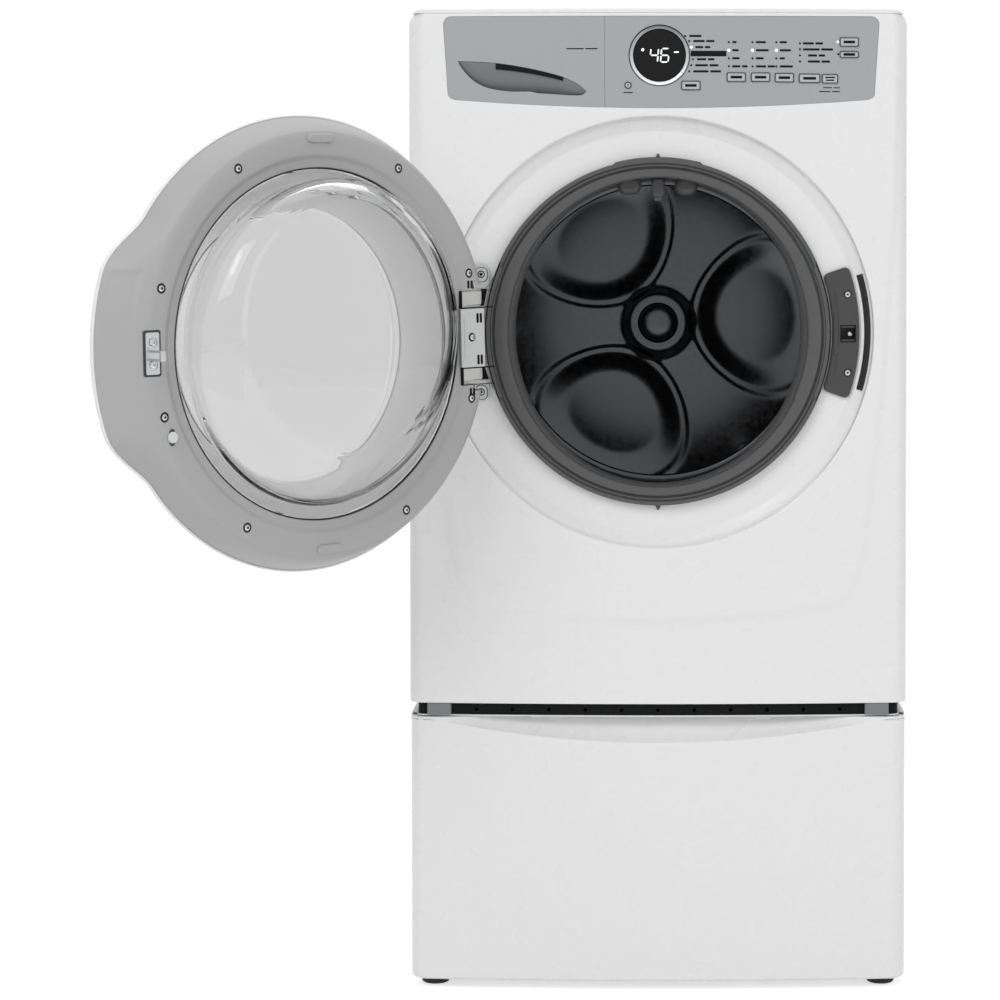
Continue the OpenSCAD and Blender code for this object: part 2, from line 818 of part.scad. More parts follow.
module arm_pair(extra_h, extra_t, r_eye)
  for (z = [arm_upper_z, -arm_lower_z])
    on_hinge() translate([0, 0, z - arm_h / 2 - extra_h]) {
      cylinder(r = r_eye, h = arm_h + 2 * extra_h);
      rotate([0, 0, arm_a]) translate([0, -arm_t / 2 - extra_t, 0])
        cube([arm_len + 4, arm_t + 2 * extra_t, arm_h + 2 * extra_h]);
    }

foot_plate_x = arm_foot_x - 32;
foot_plate_w = 42;
foot_plate_t = 3;
foot_plate_z = [-95, 91];
axis_h = 200;

module hinge_bracket()
  color(grey) difference() {
    union() {
      intersection() {
        arm_pair(0, 0, eye_r);
        box(hinge_x - 30, arm_foot_x + 40, -hinge_out - 20, recess_d - sheet_t,
          port_z + foot_plate_z[0], port_z + foot_plate_z[1]);
      }
      intersection() {
        box(foot_plate_x, foot_plate_x + foot_plate_w, recess_d - foot_plate_t, recess_d,
          port_z + foot_plate_z[0], port_z + foot_plate_z[1]);
        round_port() translate([port_hole_r + port_lip, 0])
          square([recess_floor_r - port_hole_r - 2 * port_lip - 0.4, recess_d]);
      }
    }
    on_hinge() translate([0, 0, -axis_h / 2]) cylinder(r = pin_r + pin_play, h = axis_h);
  }

bracket_screw_x = arm_foot_x + 5.2;
bracket_screw_z = [-82, 79.6];
lock_screw_z = [-55.6, 51.9];
screw_head_t = 2;

module bracket_screws()
  color(steel) {
    for (z = bracket_screw_z)
      back_rod(bracket_screw_x, port_z + z, screw_head_r,
        recess_d - foot_plate_t - screw_head_t, recess_d - foot_plate_t);
    for (z = lock_screw_z)
      back_rod(latch_x - 0.5, port_z + z, screw_head_r, lock_front_d - 1.5, lock_front_d);
  }

lip_d = gasket_front_d + 1.5;
groove_d = gasket_front_d + 2;
groove_r = port_hole_r - 18;
fold_r = port_hole_r - 12;
fold_d0 = recess_d + 19.5;
fold_d1 = recess_d + 27.5;
throat_d = recess_d + 35.5;
clamp_d = tub_front_d - 5;
clamp_r = gasket_tunnel_r + 15;
lip_back_d = recess_d + 6.5;

module door_gasket()
  color(rubber) difference() {
    round_port() polygon([
      [port_hole_r - 0.5, lip_d], [port_hole_r - 2, gasket_front_d], [fold_r, gasket_front_d],
      [fold_r - 1.5, groove_d], [groove_r + 1.5, groove_d], [groove_r, gasket_front_d],
      [gasket_in_r + 1.5, gasket_front_d], [gasket_in_r, lip_d], [gasket_in_r, recess_d - 0.5],
      [gasket_in_r + 3, recess_d + 9.5], [fold_r, fold_d0], [fold_r, fold_d1],
      [gasket_tunnel_r + 1, throat_d], [gasket_tunnel_r, tub_front_d - gap],
      [clamp_r, tub_front_d - gap], [clamp_r, clamp_d], [gasket_tunnel_r + gasket_t, clamp_d],
      [gasket_tunnel_r + gasket_t + 0.5, throat_d + 3], [fold_r + gasket_t, fold_d1 + 3],
      [fold_r + gasket_t, fold_d0 - 2], [groove_r + 1, recess_d + 8.5], [groove_r + 1, lip_back_d],
      [port_hole_r + 5, lip_back_d], [port_hole_r + 5, recess_d + sheet_t],
      [port_hole_r - 0.5, recess_d + sheet_t]
    ]);
    // drain holes in the fold
    for (a = [-12, 0, 12])
      translate([0, front_y + (fold_d0 + fold_d1) / 2, port_z]) rotate([0, 180 + a, 0])
        translate([0, 0, fold_r - gasket_t]) cylinder(r = 3, h = 5 * gasket_t);
  }

// ---- water, power and suspension ----

valve_half = 40;
valve_half_h = 25;
valve_len = 60;
inlet_bore_r = 9;
inlet_out = 15;
bore_len = 20;

module inlet_valves()
  color([0.9, 0.9, 0.86]) difference() {
    union() {
      box(inlet_x - valve_half, inlet_x + valve_half, cabinet_d - valve_len, cabinet_d - sheet_t,
        total_h - inlet_drop - valve_half_h, total_h - inlet_drop + valve_half_h);
      for (s = [-1, 1]) {
        back_rod(inlet_x + s * inlet_half, total_h - inlet_drop, inlet_r + 1.4,
          cabinet_d - 10, cabinet_d);
        back_rod(inlet_x + s * inlet_half, total_h - inlet_drop, inlet_r,
          cabinet_d - 10, cabinet_d + inlet_out);
      }
    }
    for (s = [-1, 1])
      back_rod(inlet_x + s * inlet_half, total_h - inlet_drop, inlet_bore_r,
        cabinet_d - bore_len, cabinet_d + inlet_out + cut);
  }

socket_out = 3;
socket_wall_x = 10;
socket_wall_z = 8;
socket_len = 40;

module power_inlet()
  color(dark) difference() {
    box(socket_x - socket_half, socket_x + socket_half, cabinet_d - socket_len, cabinet_d + socket_out,
      total_h - socket_drop - socket_h / 2, total_h - socket_drop + socket_h / 2);
    box(socket_x - socket_half + socket_wall_x, socket_x + socket_half - socket_wall_x,
      cabinet_d - socket_len / 2, cabinet_d + socket_out + cut,
      total_h - socket_drop - socket_h / 2 + socket_wall_z,
      total_h - socket_drop + socket_h / 2 - socket_wall_z);
  }

drain_out = 32;
drain_len = 60;
drain_bore_r = 9;

module drain_spigot()
  color(dark) difference() {
    union() {
      back_rod(drain_x, drain_z, drain_boss_r, cabinet_d - drain_len, cabinet_d);
      back_rod(drain_x, drain_z, drain_r, cabinet_d - drain_len, cabinet_d + drain_out);
    }
    back_rod(drain_x, drain_z, drain_bore_r, cabinet_d - drain_len + 10, cabinet_d + drain_out + cut);
  }

module dispenser_housing()
  color([0.85, 0.86, 0.86]) difference() {
    box(tray_x0 - tray_gap - tray_wall, tray_x1 + tray_gap + tray_wall, house_d, brace_d,
      house_z0, tray_z0 + tray_h + tray_gap + tray_wall);
    box(tray_x0 - tray_gap, tray_x1 + tray_gap, house_d - cut, brace_d - tray_wall,
      tray_z0 - tray_gap, tray_z0 + tray_h + tray_gap);
  }

module dispenser_tray()
  color([0.85, 0.86, 0.88]) difference() {
    box(tray_x0, tray_x1, tray_d, tray_d + tray_len, tray_z0, tray_z0 + tray_h);
    tray_bay(tray_x0 + tray_wall, tray_x0 + bay_1);
    tray_bay(tray_x0 + bay_1 + tray_wall, tray_x0 + bay_2);
    tray_bay(tray_x0 + bay_2 + tray_wall, tray_x1 - tray_wall);
  }

// One compartment of the tray.
module tray_bay(x0, x1)
  box(x0, x1, tray_d + tray_front_t, tray_d + tray_len - tray_wall,
    tray_z0 + tray_wall, tray_z0 + tray_h + cut);

// Places on the scoop are measured from the console's split and its top.
scoop_tip = [-202, 61.1];
scoop_lip_0 = [-151.9, 63.8];
scoop_lip_1 = [-54.9, 79.3];
scoop_end = [-24.1, 102.1];
slot_h = 8.6;

function on_front(p) = [console_split + p[0], console_z1 - p[1]];

module scoop_face()
  polygon([
    on_front(scoop_tip), on_front(scoop_lip_0), on_front(scoop_lip_1), on_front(scoop_end),
    on_front([-26.4, 106.9]), on_front([-76.9, 105.5]), on_front([-145, 102.1]),
    on_front([-174.6, 95.2]), on_front([-191, 74.3])
  ]);

front_block_in = 14;
front_block_z0 = tray_z0 - 8;
front_block_z1 = tray_z0 + tray_h - 6;
scoop_in_d = 8.5;
scoop_pitch = 18;
scoop_yaw = 9;

module dispenser_front()
  color(grey) difference() {
    union() {
      intersection() {
        bowed_skin(cabinet_w, fascia_sunk, face_in, front_wrap, fascia_z0, panel_z1);
        face_plate(0, front_wrap) console_face(console_x0, console_split, -gap);
      }
      // block that carries the scoop and meets the tray
      intersection() {
        plan_block(cabinet_w, 0, face_in, tray_d, front_block_z0, front_block_z1);
        union() {
          box(console_x0 + front_block_in, console_split - front_block_in, 0, house_d - gap,
            front_block_z0, front_block_z1);
          box(console_x0 + front_block_in, console_split - front_block_in, 0, tray_d,
            tray_z0, front_block_z1);
        }
      }
    }
    // scoop: deep under its upper edge, running out below
    intersection() {
      face_plate(-cut, tray_d) scoop_face();
      translate([0, front_y + scoop_in_d, console_z0 + 6.4]) rotate([-scoop_pitch, 0, 0])
        rotate([0, -scoop_yaw, 0])
          box_at(console_x0 - 6, console_split + 13, -40, scoop_d - 5, -60, 90);
    }
    face_plate(0, tray_d - 3) polygon([
      on_front(scoop_lip_0), on_front(scoop_lip_1), on_front(scoop_lip_1 + [-2, 5.8]),
      on_front(scoop_lip_0 + [0, slot_h])
    ]);
  }

module box_at(x0, x1, y0, y1, z0, z1)
  translate([x0, y0, z0]) cube([x1 - x0, y1 - y0, z1 - z0]);

pump_front = 60;
pump_neck_r = 26;
pump_motor_r = 24;
pump_motor_up = 30;
hose_len = 200;
hose_r = 22;
hose_wall = 3;
fold_step = 16;
fold_w = 8;
fold_n = 6;

module drain_pump()
  color(grey) union() {
    box(pump_x - pump_w / 2, pump_x + pump_w / 2, pump_d - pump_front, pump_d + pump_w / 2,
      washer_z, washer_z + pump_h);
    translate([pump_x, front_y + pump_d, washer_z + pump_h])
      cylinder(r = pump_neck_r, h = pump_top - washer_z - pump_h);
    // motor behind the housing
    back_rod(pump_x, washer_z + pump_motor_up, pump_motor_r, pump_d + pump_w / 2, pump_d + pump_w / 2 + pump_h);
  }

module sump_hose()
  color(dark) difference() {
    translate([pump_x, front_y + pump_d, pump_top]) union() {
      cylinder(r = hose_r, h = hose_len);
      // bellows
      for (i = [0:fold_n - 1])
        translate([0, 0, 20 + i * fold_step]) cylinder(r = hose_r + 2 * hose_wall, h = fold_w);
    }
    back_rod(0, port_z, tub_r + gap, 0, cabinet_d);
    translate([pump_x, front_y + pump_d, pump_top + hose_wall])
      cylinder(r = hose_r - hose_wall, h = hose_len);
  }

fill_len = 120;
fill_r = 16;
fill_fold_step = 14;
fill_fold_w = 7;
fill_fold_n = 4;

module fill_hose()
  color(dark) difference() {
    translate([fill_x, front_y + fill_d, house_z0 - fill_len]) union() {
      cylinder(r = fill_r, h = fill_len);
      for (i = [0:fill_fold_n - 1])
        translate([0, 0, 55 + i * fill_fold_step]) cylinder(r = fill_r + 5, h = fill_fold_w);
    }
    back_rod(0, port_z, tub_r + gap, 0, cabinet_d);
    translate([fill_x, front_y + fill_d, house_z0 - fill_len - cut])
      cylinder(r = fill_r - hose_wall, h = fill_len - 2);
  }

spring_r = 11;
spring_wire = 2;
spring_pitch = 3.6;
spring_turns = 14;

spring_up = 40;
spring_h = (spring_turns - 1) * spring_pitch;

module suspension_springs()
  color(steel) for (s = [-1, 1]) translate([s * strut_x, front_y + strut_d, 0]) {
    translate([0, 0, lug_top + gap]) cylinder(r = spring_wire, h = brace_z0 - lug_top - gap);
    translate([0, 0, lug_top + spring_up]) rotate_extrude($fn = 48)
      for (i = [0:spring_turns - 1])
        translate([spring_r, i * spring_pitch]) circle(r = spring_wire, $fn = 24);
    // hooks in to the middle
    for (z = [0, spring_h])
      translate([-spring_r, 0, lug_top + spring_up + z]) rotate([0, 90, 0])
        cylinder(r = spring_wire, h = 2 * spring_r);
  }

damper_r = 15;
damper_h = 140;
rod_r = 6;

module dampers()
  color(dark) for (s = [-1, 1]) translate([s * strut_x, front_y + strut_d, 0]) {
    translate([0, 0, washer_z]) cylinder(r = damper_r + 9, h = 6);
    translate([0, 0, washer_z]) cylinder(r = damper_r, h = damper_h);
    translate([0, 0, washer_z]) cylinder(r = rod_r, h = lug_low - gap - washer_z);
  }

// ---- tub, drum and drive ----

tub_mouth_r = drum_mouth_r + 10;
flange_t = 6;

module tub_front()
  color([0.8, 0.81, 0.82]) round_port() polygon([
    [tub_mouth_r, tub_front_d], [tub_r, tub_front_d], [tub_r, tub_joint_d - flange_t],
    [tub_r + tub_flange, tub_joint_d - flange_t], [tub_r + tub_flange, tub_joint_d],
    [skin_r, tub_joint_d], [skin_r, tub_front_d + tub_wall], [tub_mouth_r, tub_front_d + tub_wall]
  ]);

hub_r = bearing_r + 28;
tub_back_t = 6;
tub_rib_len = 230;

module tub_rear()
  color([0.8, 0.81, 0.82]) union() {
    round_port() polygon([
      [skin_r, tub_joint_d], [tub_r + tub_flange, tub_joint_d],
      [tub_r + tub_flange, tub_joint_d + flange_t], [tub_r, tub_joint_d + flange_t],
      [tub_r, tub_back_d], [hub_r, tub_back_d], [hub_r, hub_d1], [bearing_r, hub_d1],
      [bearing_r, hub_d0], [hub_r - 6, hub_d0], [hub_r - 2, tub_back_d - tub_back_t],
      [skin_r, tub_back_d - tub_back_t]
    ]);
    // lugs for the springs and dampers
    for (s = [-1, 1]) {
      lug(s * strut_x, lug_top - lug_t - 30, lug_top);
      lug(s * strut_x, lug_low, lug_low + lug_t + 30);
    }
    // ribs on the back
    for (a = [0:45:315])
      translate([0, front_y + tub_back_d, port_z]) rotate([0, a, 0])
        translate([hub_r - 1, 0, -tub_back_t / 2]) cube([tub_rib_len, 3 * tub_back_t, tub_back_t]);
  }

module lug(x, z0, z1)
  difference() {
    box(x - lug_w / 2, x + lug_w / 2, strut_d - 13, strut_d + 17, z0, z1);
    back_rod(0, port_z, tub_r - 1, 0, cabinet_d);
  }

weight_r = tub_r - 60;
weight_w = 58;
weight_t = 29;
weight_a = 110;
saddle_half = 120;
saddle_d0 = tub_joint_d + 68;
saddle_d1 = tub_joint_d + 188;
saddle_z0 = port_z + tub_r - 40;
saddle_h = 68;

module counterweights()
  color([0.5, 0.5, 0.49]) {
    for (a = [0, 180])
      translate([0, front_y, port_z]) rotate([0, a, 0]) rotate([-90, 90 - weight_a / 2, 0])
        rotate_extrude(angle = weight_a, $fn = 120) translate([weight_r, tub_front_d - weight_t])
          square([weight_w, weight_t]);
    // saddle block over the tub
    difference() {
      box(-saddle_half, saddle_half, saddle_d0, saddle_d1, saddle_z0, saddle_z0 + saddle_h);
      back_rod(0, port_z, tub_r + seat, 0, cabinet_d);
    }
  }

module shaft_bearings()
  color(steel) for (d = [hub_d0 + 2, hub_d1 - bearing_w - 2])
    round_port() translate([shaft_r + pin_play, d])
      square([bearing_r - shaft_r - pin_play, bearing_w]);

cradle_half = 25;
cradle_d = 40;
cradle_w = 90;

module motor()
  color([0.35, 0.36, 0.38]) difference() {
    union() {
      back_rod(motor_x, motor_z, motor_r, motor_d0, motor_d0 + motor_len);
      // cradle up to the tub
      translate([0, front_y, port_z]) rotate([0, motor_a, 0])
        translate([-cradle_half, motor_d0 + cradle_d, -motor_far])
          cube([2 * cradle_half, cradle_w, motor_far]);
    }
    back_rod(0, port_z, tub_r + seat, 0, cabinet_d);
    back_rod(motor_x, motor_z, motor_shaft_r + pin_play, motor_d0 + shaft_play - cut, cabinet_d);
  }

// Outline of the belt round both pulleys, off outside their rims.
module belt_face(off) {
  tilt = asin((pulley_r - motor_pulley_r) / motor_far);
  lie = atan2(motor_z - port_z, motor_x);
  far = [motor_x, motor_z - port_z];
  r0 = pulley_r + off;
  r1 = motor_pulley_r + off;
  a0 = lie + 90 - tilt;
  a1 = lie - 90 + tilt;
  circle(r = r0, $fn = 180);
  translate(far) circle(r = r1);
  polygon([
    [r0 * cos(a0), r0 * sin(a0)], [r0 * cos(a1), r0 * sin(a1)],
    [far[0] + r1 * cos(a1), far[1] + r1 * sin(a1)], [far[0] + r1 * cos(a0), far[1] + r1 * sin(a0)]
  ]);
}

belt_t = 4;

module drive_belt()
  color([0.08, 0.08, 0.08]) difference() {
    face_plate(pulley_d + 1, pulley_d + pulley_w - 1) translate([0, port_z]) belt_face(gap + belt_t);
    face_plate(pulley_d, pulley_d + pulley_w) translate([0, port_z]) belt_face(gap);
  }

drum_nose = 14;
drum_roll = 8;
drain_step_d = [70, 210, 350];
baffle_a = 26;

module drum()
  color(steel) difference() {
    round_port() polygon([
      [drum_mouth_r, drum_front_d], [drum_r - drum_nose, drum_front_d],
      [drum_r, drum_front_d + drum_nose], [drum_r, drum_back_d], [shaft_r + drum_roll, drum_back_d],
      [shaft_r + drum_roll, drum_back_d - drum_t], [drum_r - drum_t, drum_back_d - drum_t],
      [drum_r - drum_t, drum_front_d + drum_nose + 0.5],
      [drum_r - drum_nose - 0.5, drum_front_d + drum_t],
      [drum_mouth_r + drum_t, drum_front_d + drum_t], [drum_mouth_r + drum_t, drum_front_d + drum_roll],
      [drum_mouth_r, drum_front_d + drum_roll]
    ]);
    // a coarse set of the wall's drain holes
    for (a = [baffle_a - 30:20:baffle_a + 270], d = drain_step_d)
      translate([0, front_y + drum_front_d + d, port_z]) rotate([0, a, 0])
        translate([0, 0, drum_r - 4]) cylinder(r = 4, h = 8, $fn = 16);
  }

baffle_in = 30;
baffle_len = drum_back_d - drum_front_d - baffle_in - 17;
baffle_half = 34;
baffle_crest = 12;
baffle_foot = 9;

module drum_baffles()
  color([0.82, 0.83, 0.84]) intersection() {
    for (a = [baffle_a, baffle_a + 120, baffle_a + 240])
      translate([0, front_y + drum_front_d + baffle_in, port_z]) rotate([0, a, 0]) rotate([-90, 0, 0])
        linear_extrude(baffle_len) polygon([
          [-baffle_half, -drum_r - 4], [baffle_half, -drum_r - 4],
          [baffle_half, -drum_r + baffle_foot], [baffle_crest, -drum_r + baffle_h],
          [-baffle_crest, -drum_r + baffle_h], [-baffle_half, -drum_r + baffle_foot]
        ]);
    back_rod(0, port_z, drum_r - drum_t - seat, 0, cabinet_d);
  }

spider_t = 14;
spider_w = 40;
spider_hub_r = 48;
shaft_end = 12;

module drum_spider()
  color([0.55, 0.56, 0.58]) union() {
    for (a = [0, 120, 240])
      translate([0, front_y + drum_back_d, port_z]) rotate([0, a, 0])
        translate([0, 0, -spider_w / 2]) cube([drum_r - 10, spider_t, spider_w]);
    back_rod(0, port_z, spider_hub_r, drum_back_d, drum_back_d + spider_t + 3);
    back_rod(0, port_z, shaft_r, drum_back_d - drum_t, pulley_d + pulley_w + shaft_end);
  }

pulley_hub_r = 32;
pulley_rim = 8;
web_in = 5;
web_t = 5;
web_hole_r = 32;

module drum_pulley()
  color([0.6, 0.61, 0.62]) difference() {
    round_port() polygon([
      [shaft_r + pin_play, pulley_d], [pulley_hub_r, pulley_d], [pulley_hub_r, pulley_d + web_in],
      [pulley_r - pulley_rim, pulley_d + web_in], [pulley_r - pulley_rim, pulley_d],
      [pulley_r, pulley_d], [pulley_r, pulley_d + pulley_w],
      [pulley_r - pulley_rim, pulley_d + pulley_w],
      [pulley_r - pulley_rim, pulley_d + web_in + web_t], [pulley_hub_r, pulley_d + web_in + web_t],
      [pulley_hub_r, pulley_d + pulley_w], [shaft_r + pin_play, pulley_d + pulley_w]
    ]);
    for (a = [0:60:300])
      translate([0, front_y + pulley_d - cut, port_z]) rotate([-90, a, 0])
        translate([(pulley_r + pulley_hub_r - 6) / 2, 0, 0])
          cylinder(r = web_hole_r, h = pulley_w + 2 * cut);
  }

module motor_pulley()
  color(steel) union() {
    back_rod(motor_x, motor_z, motor_pulley_r, pulley_d, pulley_d + pulley_w);
    back_rod(motor_x, motor_z, motor_shaft_r, motor_d0 + shaft_play, pulley_d + cut);
  }

// ---- door, drawn closed and then swung open ----

// The round shell with the grip standing out on the free side.
grip_end = grip_r + 40;

module door_outline(g) {
  circle(r = door_r + g, $fn = 240);
  intersection() {
    union() {
      translate([0, -grip_half]) square([grip_end, 2 * grip_half]);
      for (s = [-1, 1]) mirror([0, s < 0 ? 1 : 0]) polygon([
        [0, 0], [grip_end, 0], [grip_end, grip_half], [grip_r - 4 + g, grip_half + 6],
        [grip_r - 26 + g, grip_half + 22], [grip_r - 48 + g, grip_half + 40],
        [grip_r - 73 + g, grip_half + grip_run], [0, grip_half + grip_run]
      ]);
    }
    circle(r = grip_r + g, $fn = 240);
  }
}

module door_plate(d0, d1)
  translate([0, front_y + d1, port_z]) rotate([90, 0, 0]) linear_extrude(d1 - d0) children();

// Points of an arc in depth and radius, from angle a0 to a1.
function arc_pts(c, r, a0, a1, n = 10) =
  [for (i = [0:n]) let (a = a0 + (a1 - a0) * i / n) [c[0] + r * cos(a), c[1] - r * sin(a)]];

round_c = [door_r - door_round_r, -door_round_out];

slot_play = 1.5;
slot_m = arm_t / 2 + slot_play + 0.5;
slot_len = 110;
slot_n = 24;

function way(a) = [cos(a), sin(a)];

// Sweep of one hinge arm seen from the door, from shut to open.
module slot_face() {
  end_a = arm_a + door_open + 2;
  circle(r = eye_r + slot_play);
  polygon(concat(
    [slot_m * way(arm_a - 90), slot_m * way(arm_a - 90) + slot_len * way(arm_a)],
    [for (i = [0:slot_n]) slot_len * way(arm_a + (end_a - arm_a) * i / slot_n)],
    [slot_len * way(end_a) + slot_m * way(end_a + 90), slot_m * way(end_a + 90)]
  ));
}

module arm_slots()
  for (z = [arm_upper_z, -arm_lower_z])
    on_hinge() translate([0, 0, z - arm_h / 2 - slot_play])
      linear_extrude(arm_h + 2 * slot_play) slot_face();

module barrel_space(extra)
  on_hinge() translate([0, 0, -arm_lower_z + arm_h / 2 + slot_play - extra])
    children();

barrel_h = arm_upper_z + arm_lower_z - arm_h - 2 * slot_play;
// the shell's front face falls from the round to the window's seat
face_r = door_r - door_round_r - 20;
crown_out = door_round_out + door_round_r;

module door_shell()
  opened() color(white) difference() {
    union() {
      round_port() polygon(concat(
        [[door_r - door_wall, -door_rim_out], [door_r, -door_rim_out]],
        arc_pts(round_c, door_round_r, 0, 90),
        [[face_r, -crown_out - 3], [face_r - 20, -crown_out - 1.5],
        [window_r + 4, -window_out - 2], [window_r, -window_out],
        [window_r, -window_out + window_t], [window_r + 6, -window_out + 3],
        [face_r - 19, -crown_out + 2], [face_r, -crown_out]],
        arc_pts(round_c, door_round_r - door_wall, 90, 0)
      ));
      // hollow grip
      difference() {
        door_plate(-door_rim_out - grip_d, -door_rim_out) door_outline(0);
        door_plate(-door_rim_out - grip_d - cut, -door_rim_out + cut)
          circle(r = door_r - door_wall / 2 + 0.05, $fn = 240);
        door_plate(-door_rim_out - grip_d + door_wall, -door_rim_out + cut) door_outline(-door_wall);
      }
    }
    arm_slots();
    barrel_space(cut) cylinder(r = barrel_r + 0.4, h = barrel_h + 2 * cut);
  }

window_t = 4;
dome_n = 6;
dome_r = (window_r * window_r + window_dome * window_dome) / (2 * window_dome);

module door_window()
  opened() color([0.8, 0.82, 0.84, 0.5]) round_port() polygon(concat(
    [[0, -window_out + window_t], [window_r, -window_out + window_t]],
    [for (i = [0:dome_n]) let (r = window_r * (dome_n - i) / dome_n)
      [r, -window_out - window_dome + dome_r - sqrt(dome_r * dome_r - r * r)]]
  ));

frame_back_out = door_rim_out + 2;
frame_lip_r = 190;
frame_lip_d = 0.8;
frame_wall = 3;
stop_half = 8;
stop_r = 7;
stop_up = 259;
hinge_room_x = foot_plate_x + 37;

module door_frame()
  opened() color([0.68, 0.69, 0.7]) difference() {
    union() {
      round_port() polygon([
        [frame_r, -door_rim_out + cut], [frame_r - 12, -3], [frame_ring_r + 4, 2],
        [frame_ring_r, frame_ring_d - 1], [frame_ring_r - 1, frame_ring_d],
        [frame_ring_r - 30, frame_ring_d], [frame_in_r + 12, 11], [frame_in_r, 9.5],
        [frame_in_r, frame_lip_d], [frame_lip_r, frame_lip_d], [frame_lip_r, frame_lip_d - frame_wall],
        [frame_in_r + 6, frame_lip_d - frame_wall], [frame_in_r + 10, 6], [frame_ring_r - 6, 9],
        [frame_ring_r - 4, 0], [frame_r - 15, -5], [frame_r - 4, -frame_back_out], [frame_r - 4, -50],
        [frame_r, -38], [frame_r, -frame_back_out]
      ]);
      // tray behind the grip
      difference() {
        door_plate(-door_rim_out - grip_d + door_wall, -frame_back_out - 2) door_outline(-door_wall);
        door_plate(-door_rim_out - grip_d, 0) circle(r = door_r, $fn = 240);
        door_plate(-door_rim_out - grip_d + 2 * door_wall, 0) intersection() {
          door_outline(-door_wall - frame_wall);
          translate([0, -grip_half - 14]) square([grip_end, 2 * grip_half + 28]);
        }
      }
      // stops that meet the cabinet
      for (s = [-1, 1])
        door_plate(9, frame_ring_d + 4) translate([0, s * stop_up]) {
          translate([-stop_half, -stop_r]) square([2 * stop_half, 2 * stop_r]);
          for (t = [-1, 1]) translate([t * stop_half, 0]) circle(r = stop_r);
        }
    }
    // room for the hinge
    box(-frame_r - cut, hinge_room_x, -window_out, frame_ring_d + cut,
      port_z - arm_lower_z - arm_h, port_z + arm_upper_z + arm_h);
  }

neck_in_r = glass_neck_r - glass_t;

module door_glass()
  opened() color([0.85, 0.9, 0.92, 0.35]) round_port() polygon([
    [glass_flange_r, glass_face_d], [glass_flange_r, frame_lip_d], [neck_in_r, frame_lip_d],
    [neck_in_r - 2, 3], [neck_in_r - 4, 28], [glass_neck_r - 18, 56], [glass_end_r + 10, glass_end_d - 18],
    [glass_end_r - 14, glass_end_d - glass_t - 1], [0, glass_end_d - glass_t + 3], [0, glass_end_d + 3],
    [glass_end_r - 12, glass_end_d], [glass_end_r + 14, glass_end_d - 12], [glass_neck_r - 12, 59],
    [glass_neck_r - 4, 30], [glass_neck_r, glass_face_d]
  ]);

plate_x0 = hinge_x + 12.5;
plate_x1 = plate_x0 + 38;
plate_t = 3;
plate_z = [-42, 36];
arm_web = 90;
eyelet_z = [-34, -30, 22, 26];

module door_arm()
  opened() color([0.6, 0.61, 0.62]) difference() {
    union() {
      barrel_space(0) cylinder(r = barrel_r, h = barrel_h);
      intersection() {
        barrel_space(0) rotate([0, 0, arm_a]) translate([0, -arm_t / 2, 0])
          cube([arm_web, arm_t, barrel_h]);
        box(hinge_x - 30, plate_x1, -hinge_out - 20, frame_ring_d + 1, port_z - 60, port_z + 60);
      }
      box(plate_x0, plate_x1, frame_ring_d, frame_ring_d + plate_t,
        port_z + plate_z[0], port_z + plate_z[1]);
    }
    on_hinge() translate([0, 0, -axis_h / 2]) cylinder(r = pin_r, h = axis_h);
    // double slots
    for (z = eyelet_z)
      box(plate_x0 - 2, plate_x0 + 8, frame_ring_d - cut, frame_ring_d + plate_t + cut,
        port_z + z - 1, port_z + z + 1);
  }

module hinge_pins()
  opened() color(steel) on_hinge() translate([0, 0, -arm_lower_z - arm_h / 2 - 1])
    cylinder(r = pin_r, h = arm_upper_z + arm_lower_z + arm_h + 2);

door_screw_a = [60.4, 119.6, 17.75, -17.75, -60.4, -119.6, 161, -161];
door_screw_t = 1.6;
strike_x = latch_x - 4;
strike_half = 10;
strike_up = 26;
strike_t = 1.2;
strike_screw_r = 2.6;
strike_screw_z = [-13.5, 13.6];

module door_screws()
  opened() color(steel) {
    for (a = door_screw_a)
      back_rod(screw_ring_r * cos(a), port_z + screw_ring_r * sin(a), screw_head_r,
        frame_ring_d, frame_ring_d + door_screw_t);
    back_rod(plate_x0 + 17.7, port_z - 2, screw_head_r,
      frame_ring_d + plate_t, frame_ring_d + plate_t + door_screw_t);
    for (z = strike_screw_z)
      back_rod(strike_x - 1, port_z + z, strike_screw_r,
        frame_ring_d + strike_t, frame_ring_d + 2 * strike_t);
  }

hook_d = 42;
hook_eye_d = [24, 34];

module door_strike()
  opened() color(steel) union() {
    box(strike_x - strike_half, strike_x + strike_half, frame_ring_d, frame_ring_d + strike_t,
      port_z - strike_up, port_z + strike_up);
    // hook that enters the latch
    difference() {
      box(latch_x - 7, latch_x + 5, frame_ring_d, hook_d, port_z - 10, port_z + 5);
      box(latch_x - 8, latch_x + 6, hook_eye_d[0], hook_eye_d[1], port_z - 7, port_z + 1);
    }
  }

bumper_a = -23.8;
bumper_r = 6;
bumper_t = 3.5;

module door_bumper()
  opened() color(white)
    back_rod(screw_ring_r * cos(bumper_a), port_z + screw_ring_r * sin(bumper_a), bumper_r,
      frame_ring_d, frame_ring_d + bumper_t);

// ---- pedestal ----

pedestal_back_d = cabinet_d - 5;
case_front_d = drawer_wrap + 3;
top_lap = 20;

